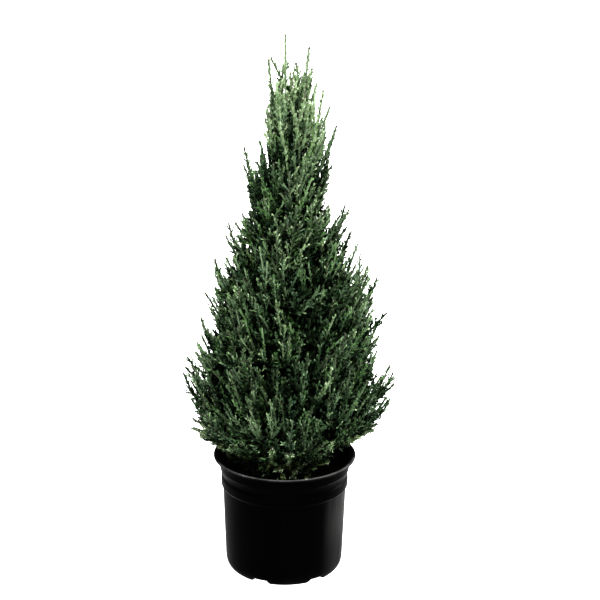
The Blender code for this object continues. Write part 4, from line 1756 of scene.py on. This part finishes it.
    def over_rim(self, points: Array) -> Array:
        """Tell which points lie in the cone over the mix's edge that the needles leave open.

        Args:
            points: Points.

        Returns:
            Whether each does.
        """
        reach, low, high = self.rim_clear
        radius = np.hypot(*points[:, :2].T)
        limit = np.minimum(high, low + (high - low) * (radius - reach) / self.rim_run)
        return (radius > reach) & (points[:, 2] < limit)

    def arrivals(self, goals: Array, chance: Chance) -> Array:
        """Return how plumes point at their tips: upright, leaning outwards towards the edge.

        Args:
            goals: Their tips.
            chance: Seeded random numbers.

        Returns:
            Unit vectors.
        """
        share = np.clip(crown_share(goals), 0.0, 1.1)
        lean = self.limb.tier.lean * (0.15 + 0.85 * share**1.5)
        lean = lean + self.low_lean * below(goals, self.low_from)
        lean = np.radians(lean + chance.normal(0.0, self.lean_spread, len(goals)))
        outward = unit(goals * LEVEL + chance.normal(0.0, self.turn_spread, goals.shape) * LEVEL)
        return np.sin(lean)[:, None] * outward + np.cos(lean)[:, None] * UP

    def free_tips(self) -> Array:
        """Return the tier's free tips that stand closest to this limb's own tip."""
        tips = np.stack([tip.point() for tip in self.limb.tier.tips])
        own = int(np.argmin(np.linalg.norm(tips - self.limb.curve.holds[0, 3], axis=1)))
        free = np.array(self.limb.tier.free).reshape(-1, 3) / 1000.0
        nearest = np.argmin(np.linalg.norm(free[:, None] - tips[None], axis=2), axis=1)
        return free[nearest == own]

    def companions(self, tips: Array, chance: Chance) -> Array:
        """Return two goals beside and below each tip, inwards of it, which make it a spray.

        Args:
            tips: Free tips; those near the pot or high on the leader get none.
            chance: Seeded random numbers.

        Returns:
            The goals.
        """
        low, high = self.spray_heights
        tips = tips[(tips[:, 2] > low) & (tips[:, 2] < high)]
        outward = unit(tips * LEVEL)
        side = np.column_stack((-outward[:, 1], outward[:, 0], np.zeros(len(tips))))
        goals = [tips - inset * outward + offset * side - drop * UP for inset, offset, drop in self.mates]
        goals = np.concatenate(goals)
        return goals + chance.normal(0.0, self.mate_jitter, goals.shape)

    def wishes(self, chance: Chance) -> tuple[Array, Array, Array, Array]:
        """Return where branchlets end: the mass's plumes, then its free tips, then fillers.

        Args:
            chance: Seeded random numbers.

        Returns:
            The goals, each one's flame, and whether each is free and whether it is a filler.
        """
        tier = self.limb.tier
        plumes = self.goals(tier.spacing, self.plume_shares, (tier.inner_odds, 1.0), chance)
        fillers = self.goals(self.filler_spacing, self.filler_shares, (1.0, 0.0), chance)
        ceiling = self.limb.curve.holds[0, 3, 2] - tier.bare_top
        narrow = (fillers[:, 2] > self.narrow_from) & (crown_share(fillers) > self.narrow_share)
        fillers = fillers[(fillers[:, 2] < ceiling - self.filler_drop * tier.bare_top) & ~narrow]
        plumes = plumes[(plumes[:, 2] < ceiling) & ~self.over_rim(plumes)]
        fillers = fillers[~self.over_rim(fillers)]
        plumes, flame = self.gather(plumes, chance)
        free = self.free_tips()
        ends = np.concatenate((free, self.limb.curve.holds[:, 3]))
        free = np.concatenate((free, self.companions(ends, chance)))
        rest = np.concatenate((np.arange(len(free)) + 1, np.zeros(len(fillers), int))) + flame.max()
        kind = np.repeat((0, 1, 2), (len(plumes), len(free), len(fillers)))
        goals = np.concatenate((plumes, free, fillers))
        return goals, np.concatenate((flame, rest)), kind == 1, kind == 2

    def skeleton(self, spine: Curves) -> Skeleton:
        """Return the points to grow from at first: the spine's, and the trunk's in a collar.

        Args:
            spine: The part of the limb's curve in the mass.

        Returns:
            The skeleton.
        """
        tier = self.limb.tier
        places = np.linspace(*self.spine_places)
        one = np.zeros(len(places), int)
        stout = np.interp(places, (0.0, 1.0), (tier.bough_radius * 0.62, self.spine_tip))
        made = Skeleton(spine.point(one, places), spine.heading(one, places), stout)
        if tier.collar:
            top = made.nodes[0, 2]
            count, below_collar = self.collar_nodes
            heights = np.linspace(top - tier.collar - below_collar, top, count)
            nodes = np.column_stack((TRUNK.axis(heights), heights))
            made.add(nodes, np.tile(UP, (count, 1)), np.full(count, tier.bough_radius))
        return made

    def branch(self, chance: Chance) -> Branching:
        """Grow branchlets from the spine, and from each other, to every goal.

        Goals are taken from the bough's end outwards. A plume wants to rise straight to its
        goal, so it grows from the skeleton's best point for the foot of that rise; the curve
        leaves along its parent's way and comes in along the plume's.

        Args:
            chance: Seeded random numbers.

        Returns:
            The mass's branchlets, with the limb's own end as the first.
        """
        tier = self.limb.tier
        spine = self.limb.curve.beyond(np.array([self.limb.start]))
        wood = self.skeleton(spine)
        goals, flame, free, filler = self.wishes(chance)
        arrive = self.arrivals(goals, chance)
        loose = np.where(goals[:, 2] > self.narrow_from, *self.filler_loose)[:, None]
        loose = loose * chance.normal(0.0, 1.0, goals.shape)
        arrive = np.where(filler[:, None], unit(arrive + loose), arrive)
        plume = np.where(filler, self.filler_plume, tier.plume)
        plume = plume * chance.uniform(*self.plume_spread, len(goals)) * np.where(free, self.free_plume, 1.0)
        order = np.argsort(np.linalg.norm(goals - spine.holds[0, 0], axis=1))
        steps = np.linspace(*self.fork_places)
        holds, radii = [], []
        for goal, way, rise in zip(goals[order], arrive[order], plume[order]):
            parent = wood.parent(goal, goal - way * rise * self.foot_drop)
            foot = wood.nodes[parent]
            end = goal + way * chance.uniform(0.0, self.spike_reach)
            span = np.linalg.norm(end - foot)
            leave = unit(0.7 * wood.ways[parent] + 0.6 * (end - foot) / span)
            holds.append(np.stack((foot, foot + leave * span * 0.25, end - way * span * 0.42, end)))
            radii.append(min(wood.stout[parent] * 0.75, self.tip_radius + 0.008 * span))
            if span > self.fork_from:
                grown, own = Curves(holds[-1][None]), np.zeros(len(steps), int)
                wood.add(grown.point(own, steps), grown.heading(own, steps), radii[-1] * (1.0 - 0.6 * steps))
        curves = Curves(np.concatenate((spine.holds, np.stack(holds))))
        plume = np.append(tier.plume * self.free_plume, plume[order])
        free, filler = np.append(True, free[order]), np.append(False, filler[order])
        flame = np.append(flame[0], flame[order])
        return self._finish(curves, np.append(self.spine_tip, radii), plume, filler, flame, free, chance)

    def _finish(
        self, curves: Curves, radius: Array, plume: Array, filler: Array,
        flame: Array, free: Array, chance: Chance,
    ) -> Branching:
        """Give branchlets their leafy ends, tones and kinds of leaf.

        A tone is the tier's, with a part for the flame and one for the plume; painted shade lowers
        it deep in the crown and on free tips at the sides and back, and it is higher near the pot.
        Fillers take low tones of their own, painted shade for the crown's inside.

        Args:
            curves: The branchlets' curves.
            radius: Their radii.
            plume: The lengths of their leafy ends.
            filler: Which are fillers.
            flame: Their flames.
            free: Which are free tips.
            chance: Seeded random numbers.

        Returns:
            The branchlets.
        """
        tier = self.limb.tier
        count = len(curves)
        leafy_from = np.clip(1.0 - plume / curves.length(), 0.03, 0.9)
        tips = curves.holds[:, 3]
        outer = np.clip((crown_share(tips) - self.crown_edge[0]) / self.crown_edge[1], 0.0, 1.0)
        outer = np.maximum(outer, np.clip((tips[:, 2] - self.pale_top[0]) / self.pale_top[1], 0.0, 1.0))
        lightness = chance.normal(0.0, self.flame_tones, flame.max() + 1)[flame]
        tone = tier.tone + lightness + chance.normal(0.0, self.plume_tones, count)
        # painted shade deep in the crown
        tone = tone - self.inner_shade * (1.0 - outer)
        tone = tone + self.low_light[2] * below(tips, self.low_light[:2])
        # painted shade: fillers' dark tones for the crown's inside
        tone = np.where(filler, chance.uniform(*self.filler_shade_tones, count), tone)
        young = chance.random(count) < tier.juvenile * below(tips, self.young_below)
        cast = (chance.random(flame.max() + 1)[flame] + chance.normal(0.0, 0.08, count)) % 1.0
        cast = np.where(young, np.where(chance.random(count) < 0.2, STRAW_CAST, PLAIN_CAST), cast)
        dry = np.where(chance.random(count) < self.dry_share, Lead.DRY, Lead.GREEN)
        lead = np.where(filler, Lead.SIDE, np.where(free, Lead.FREE, dry))
        # painted shade on free tips at the sides and back
        dark = (lead == Lead.FREE) & (tips[:, 2] > self.young_below[0]) & (tips[:, 1] > self.free_front)
        tone = tone + self.young_light * young - self.free_shade * dark
        return Branching(curves, radius, leafy_from, tone, cast, young, filler, lead)

    def sprout(
        self, parents: Curves, owner: Array, place: Array, turn: Array,
        lean: Array, size: Array, chance: Chance,
    ) -> Curves:
        """Return side shoots: each leaves its parent at a lean and bends forwards and up.

        Args:
            parents: The curves that they stand on.
            owner: Each one's parent.
            place: Its place along the parent.
            turn: Its turn round the parent.
            lean: Its angle from the parent.
            size: Its length.
            chance: Seeded random numbers.

        Returns:
            The shoots' curves.
        """
        foot, ahead = parents.point(owner, place), parents.heading(owner, place)
        start = np.cos(lean)[:, None] * ahead + np.sin(lean)[:, None] * around(ahead, turn)
        loose = chance.normal(0.0, 0.12, start.shape)
        finish = unit(start + 0.45 * ahead + 0.15 * UP + loose)
        size = size[:, None]
        tip = foot + size * unit(start + 0.6 * finish)
        return Curves(np.stack((foot, foot + start * size / 3, tip - finish * size / 3, tip), axis=1))

    def shoots(self, twigs: Branching, chance: Chance) -> Shoots:
        """Return every leafy axis: the branchlets' own ends and the side shoots on them.

        Side shoots stand in two rows, on opposite sides of the plume. They are longest low on
        it and stop short of its tip, so that each plume is a narrow pointed feather.

        Args:
            twigs: The mass's branchlets.
            chance: Seeded random numbers.

        Returns:
            The shoots, with the branchlets' own ends first.
        """
        tier = self.limb.tier
        ends = twigs.curves.beyond(twigs.leafy_from)
        pitch = np.where(twigs.filler, self.filler_pitch, self.shoot_pitch)
        owner, order = spread(np.maximum(2, (ends.length() * self.feathered / pitch).astype(int)))
        total = len(owner)
        counts = np.bincount(owner, minlength=len(ends))[owner]
        place = (order + chance.uniform(0.2, 0.8, total)) / counts * self.feathered
        plane = chance.uniform(0.0, math.pi, len(ends))
        turn = math.pi * order + plane[owner] + chance.normal(0.0, 0.5, total)
        lean, closing, loose = self.shoot_lean
        lean = np.radians(lean - closing * place + chance.normal(0.0, loose, total))
        feather = np.minimum(1.0, 0.75 + 1.2 * place) * (1.12 - place) ** 0.5
        size = self.shoot_scale * tier.side_shoot * feather * chance.uniform(0.6, 1.25, total)
        size = size * np.where(twigs.lead[owner] == Lead.FREE, self.free_scale, 1.0)
        size = np.maximum(np.where(twigs.filler[owner], self.filler_shoot, size), self.least_shoot)
        sides = self.sprout(ends, owner, place, turn, lean, size, chance)
        rise = np.where(twigs.filler, self.filler_rise, self.plume_rise)
        own = Shoots(ends, twigs.tone, rise, twigs.cast, twigs.young, twigs.filler, twigs.lead)
        # side shoots lighter up the plume: paler young tips, and painted shade lower down
        tone = twigs.tone[owner] + rise[owner] * (place - self.middle) - 0.1
        tone = tone + chance.normal(0.0, self.shoot_tones, total)
        side = own.side_shoots(sides, owner, tone, np.interp(tier.tone, *SIDE_RISE))
        return own.joined(side).joined(self.sprigs(side, size, chance))

    def sprigs(self, side: Shoots, size: Array, chance: Chance) -> Shoots:
        """Return the small shoots, a pair to a side shoot that is long enough to bear them.

        Args:
            side: The side shoots.
            size: Their lengths.
            chance: Seeded random numbers.

        Returns:
            The small shoots.
        """
        owner, order = spread(np.where((size > self.sprig_from) & ~side.filler, 2, 0))
        total = len(owner)
        place = 0.25 + 0.33 * order + chance.uniform(-0.08, 0.08, total)
        turn = math.pi * order + owner * 1.3 + chance.normal(0.0, 0.5, total)
        lean = np.radians(self.sprig_lean[0] + chance.normal(0.0, self.sprig_lean[1], total))
        length = size[owner] * (0.58 - 0.2 * place) * chance.uniform(0.8, 1.2, total)
        curves = self.sprout(side.curves, owner, place, turn, lean, length, chance)
        tone = side.tone[owner] + 0.25 + chance.normal(0.0, 0.15, total)
        return side.side_shoots(curves, owner, tone, self.sprig_rise)

    def leaves(self, shoots: Shoots, kind: Leaf, chance: Chance) -> Shell:
        """Return the leaves of one kind on all shoots.

        A leaf is a kite folded along its midrib: foot, two shoulders part of the way along
        it, raised by its keel, and tip. Leaves stand in whorls, each turned by half a leaf's
        share of the circle, at an angle that closes towards the shoot's tip.

        Args:
            shoots: The mass's shoots.
            kind: The kind of leaf.
            chance: Seeded random numbers.

        Returns:
            The leaves' shell with a tint number for each face.
        """
        shape = LEAF_SHAPES[kind]
        chosen = np.flatnonzero(shoots.young == (kind is Leaf.AWL))
        length = shoots.curves.length()[chosen]
        pitch = shape.pitch * np.where(shoots.filler[chosen], self.filler_gap, 1.0)
        whorl_owner, whorl = spread(np.maximum(2, np.round(length / pitch).astype(int)))
        counts = np.bincount(whorl_owner, minlength=len(chosen))[whorl_owner]
        place = np.repeat((whorl + 0.25) / counts, shape.whorl)
        turn = np.repeat(whorl * math.pi / shape.whorl, shape.whorl)
        turn = turn + np.tile(np.arange(shape.whorl) * math.tau / shape.whorl, len(whorl))
        which = chosen[np.repeat(whorl_owner, shape.whorl)]
        total = len(which)
        turn = turn + which * 0.7 + chance.normal(0.0, 0.16, total)
        foot = shoots.curves.point(which, place)
        ahead = shoots.curves.heading(which, place)
        away = around(ahead, turn)
        across = np.cross(ahead, away)
        leads = shoots.lead[which] != Lead.SIDE
        ajar = np.where(leads, np.interp(foot[:, 2], self.tall, self.tall_ajar), 1.0) * (1.0 - 0.2 * place**2)
        angle = np.radians(shape.angle * ajar + chance.normal(0.0, 4.0, total))[:, None]
        axis = np.cos(angle) * ahead + np.sin(angle) * away
        face = np.cos(angle) * away - np.sin(angle) * ahead
        size = (1.0 - 0.08 * place) * chance.uniform(0.88, 1.12, total)
        grown = np.where(leads, np.interp(foot[:, 2], self.tall, self.tall_leaf), 1.0)
        size = (size * np.where(shoots.filler[which], self.filler_leaf, grown))[:, None]
        foot = foot + away * 0.0003
        shoulder = foot + axis * size * shape.length * self.shoulder
        shoulder = shoulder + face * size * shape.length * shape.keel * 0.25
        half = across * size * shape.width * 0.5
        tip = foot + axis * size * shape.length
        points = np.stack((foot, shoulder - half, tip, shoulder + half), axis=1).reshape(-1, 3)
        faces = (np.arange(total) * 4)[:, None, None] + np.array(((0, 1, 2), (0, 2, 3)))
        # tones rise along each shoot: paler young tips, and painted shade towards the foot
        tone = shoots.tone[which] + shoots.rise[which] * (place - self.middle)
        cast = shoots.cast[which]
        looks = self._tints(tone + chance.normal(0.0, shape.speckle, total), cast)
        tipped = (shoots.lead[which] >= Lead.DRY) & (place > 0.5 + 0.34 * ((cast * 7.0) % 1.0))
        looks = np.where(tipped & (looks > 1), BRONZE_TINT, looks)
        return Shell(points, [faces.reshape(-1, 3)], [np.repeat(looks, 2)])

    @staticmethod
    def _tints(tone: Array, cast: Array) -> Array:
        """Return tint numbers: by tone, with some sprays cast blue, fresh or straw.

        Args:
            tone: Tones.
            cast: Casts from 0 to 1.

        Returns:
            Numbers in TINTS.
        """
        tint = np.clip(np.round(tone), 0, TONES - 1).astype(int)
        fresh = cast > FRESH_CAST
        tint = np.where((cast < BLUE_CAST) & (tint == 2), BLUE_TINT, tint)
        tint = np.where(fresh & ((tint == 3) | (tint == 4)), FRESH_TINT, tint)
        tint = np.where(fresh & (tint == 2), DEEP_FRESH_TINT, tint)
        return np.where((cast > STRAW_FROM) & (tint > 1), STRAW_TINT, tint)

    @staticmethod
    def _greens(tone: Array) -> Array:
        """Return the numbers of the green stem tints that go with tones."""
        return np.clip(np.round(tone), 1, len(STEM_TINTS) - 2).astype(int) + 1

    def stems(self, twigs: Branching, shoots: Shoots) -> Shell:
        """Return the branchlets' stems as thin tubes and the side shoots' as spikes.

        Args:
            twigs: The mass's branchlets.
            shoots: Its shoots.

        Returns:
            The stems' shell, with numbers in STEM_TINTS.
        """
        branchlets = Curves(twigs.curves.holds[1:])
        looks = np.where(twigs.filler[1:], 0, 1)
        ends = np.full(len(branchlets), self.tip_radius)
        thick = tubes(branchlets, twigs.radius[1:], ends, looks)
        plumes = np.flatnonzero(~twigs.filler)
        heights = twigs.curves.holds[plumes, 3, 2]
        full = self.core_radius * np.interp(heights, self.tall, self.tall_core)
        greens = self._greens(shoots.tone[plumes])
        cores = tubes(Curves(shoots.curves.holds[plumes]), full, full * 0.8, greens)
        own = len(twigs.tone)
        kept = np.flatnonzero(~shoots.filler[own:]) + own
        sides = shoots.curves.holds[kept]
        radius = np.full(len(sides), self.spike_radius)
        thin = spikes(sides[:, 0], sides[:, 3], radius, self._greens(shoots.tone[kept] + 0.3))
        return merged([thick, cores, thin])

    def grow(self, chance: Chance) -> tuple[Shell, Shell]:
        """Grow the mass.

        Args:
            chance: Seeded random numbers.

        Returns:
            Its leaves and its stems.
        """
        twigs = self.branch(chance)
        shoots = self.shoots(twigs, chance)
        kinds = [self.leaves(shoots, kind, chance) for kind in Leaf]
        return merged([shell for shell in kinds if len(shell.points)]), self.stems(twigs, shoots)


@dataclass
class Crown:
    """The whole crown: boughs by tier, needles by mass and stems by tier."""

    limbs: list[Limb] = field(default_factory=plan_limbs)
    finish: StringyBark = StringyBark(
        "bough_bark", (0.105, 0.074, 0.05), (0.024, 0.015, 0.01), (0.075, 0.075, 0.05)
    )

    def dress(self) -> None:
        """Make every piece of the crown."""
        bark = self.finish.material()
        tints = [tint.material() for tint in TINTS]
        stems = [tint.material() for tint in STEM_TINTS]
        total = 0
        for number, tier in enumerate(TIERS):
            limbs = [limb for limb in self.limbs if limb.tier is tier]
            Boughs(tier, limbs).dress(bark)
            woody = []
            for order, limb in enumerate(limbs):
                chance = np.random.default_rng((SEED, number, order))
                leaves, stem = NeedleMass(limb).grow(chance)
                total += leaves.triangles() + stem.triangles()
                piece = make_piece(f"needles_{limb.name}", leaves, tints, False)
                hand_over(piece, [limb.mass])
                woody.append(stem)
            piece = make_piece(f"twigs_{tier.name}", merged(woody), stems, False)
            hand_over(piece, [limb.mass for limb in limbs])
        LOG.info("crown: %d triangles", total)


# ---- studio


@dataclass(frozen=True)
class SunLight:
    """A distant soft light, by its azimuth, elevation and width in degrees."""

    name: str
    azimuth: float
    elevation: float
    width: float
    strength: float

    def hang(self) -> None:
        """Put the light into the scene."""
        data = bpy.data.lights.new(self.name, "SUN")
        data.energy = self.strength
        data.angle = math.radians(self.width)
        lamp = bpy.data.objects.new(self.name, data)
        lamp.rotation_euler = np.radians((90.0 - self.elevation, 0.0, self.azimuth + 90.0))
        bpy.context.scene.collection.objects.link(lamp)


@dataclass
class Studio:
    """A pale floor, soft lights, an even sky and the camera."""

    floor_reach: float = 60.0
    sky: float = 0.45
    eye: Triple = (0.0, -2.8, 1.403)
    pitch: float = 16.25
    roll: float = 0.4
    lens: float = 85.36
    shift: float = 0.0192
    contrast: str = "Very High Contrast"
    paper: StudioPaper = StudioPaper()
    lights: tuple[SunLight, ...] = (
        SunLight("key", 271.0, 50.0, 6.0, 3.6),
        SunLight("fill", 312.0, 58.0, 30.0, 1.5),
        SunLight("right_edge", 22.0, 8.0, 16.0, 2.5),
        SunLight("left_edge", 156.0, 8.0, 16.0, 0.3),
        SunLight("back", 95.0, 56.0, 20.0, 1.6),
    )

    def lay_floor(self) -> None:
        """Lay the floor, just under the pot."""
        corners = np.array(((-1, -1, 0), (1, -1, 0), (1, 1, 0), (-1, 1, 0))) * self.floor_reach
        shell = Shell(corners, [np.arange(4)[None, :]])
        floor = make_piece("floor", shell, [self.paper.material()], False)

    def light(self) -> None:
        """Hang the lights and set the even sky."""
        for lamp in self.lights:
            lamp.hang()
        world = bpy.data.worlds.new("even_sky")
        world.use_nodes = True
        sky = world.node_tree.nodes["Background"]
        sky.inputs["Color"].default_value = (1.0, 1.0, 1.0, 1.0)
        sky.inputs["Strength"].default_value = self.sky
        bpy.context.scene.world = world

    def aim_camera(self) -> None:
        """Set up the camera."""
        data = bpy.data.cameras.new("camera")
        data.lens = self.lens
        data.shift_x = self.shift
        camera = bpy.data.objects.new("camera", data)
        camera.location = self.eye
        camera.rotation_euler = (math.radians(90.0 - self.pitch), math.radians(-self.roll), 0.0)
        bpy.context.scene.collection.objects.link(camera)
        bpy.context.scene.camera = camera

    def set_up(self) -> None:
        """Lay the floor, hang the lights and set up the camera."""
        self.lay_floor()
        self.light()
        self.aim_camera()
        bpy.context.scene.view_settings.view_transform = "Standard"
        bpy.context.scene.view_settings.look = self.contrast


def main() -> None:
    """Build the pot, its mix, the wood, the needles and the studio, in that order."""
    logging.basicConfig(level=logging.INFO, format="%(message)s")
    NurseryPot().dress()
    PottingMix().dress(np.random.default_rng((SEED, MIX_STREAM)))
    Trunk().dress()
    Crown().dress()
    Studio().set_up()


if __name__ == "__main__":
    main()
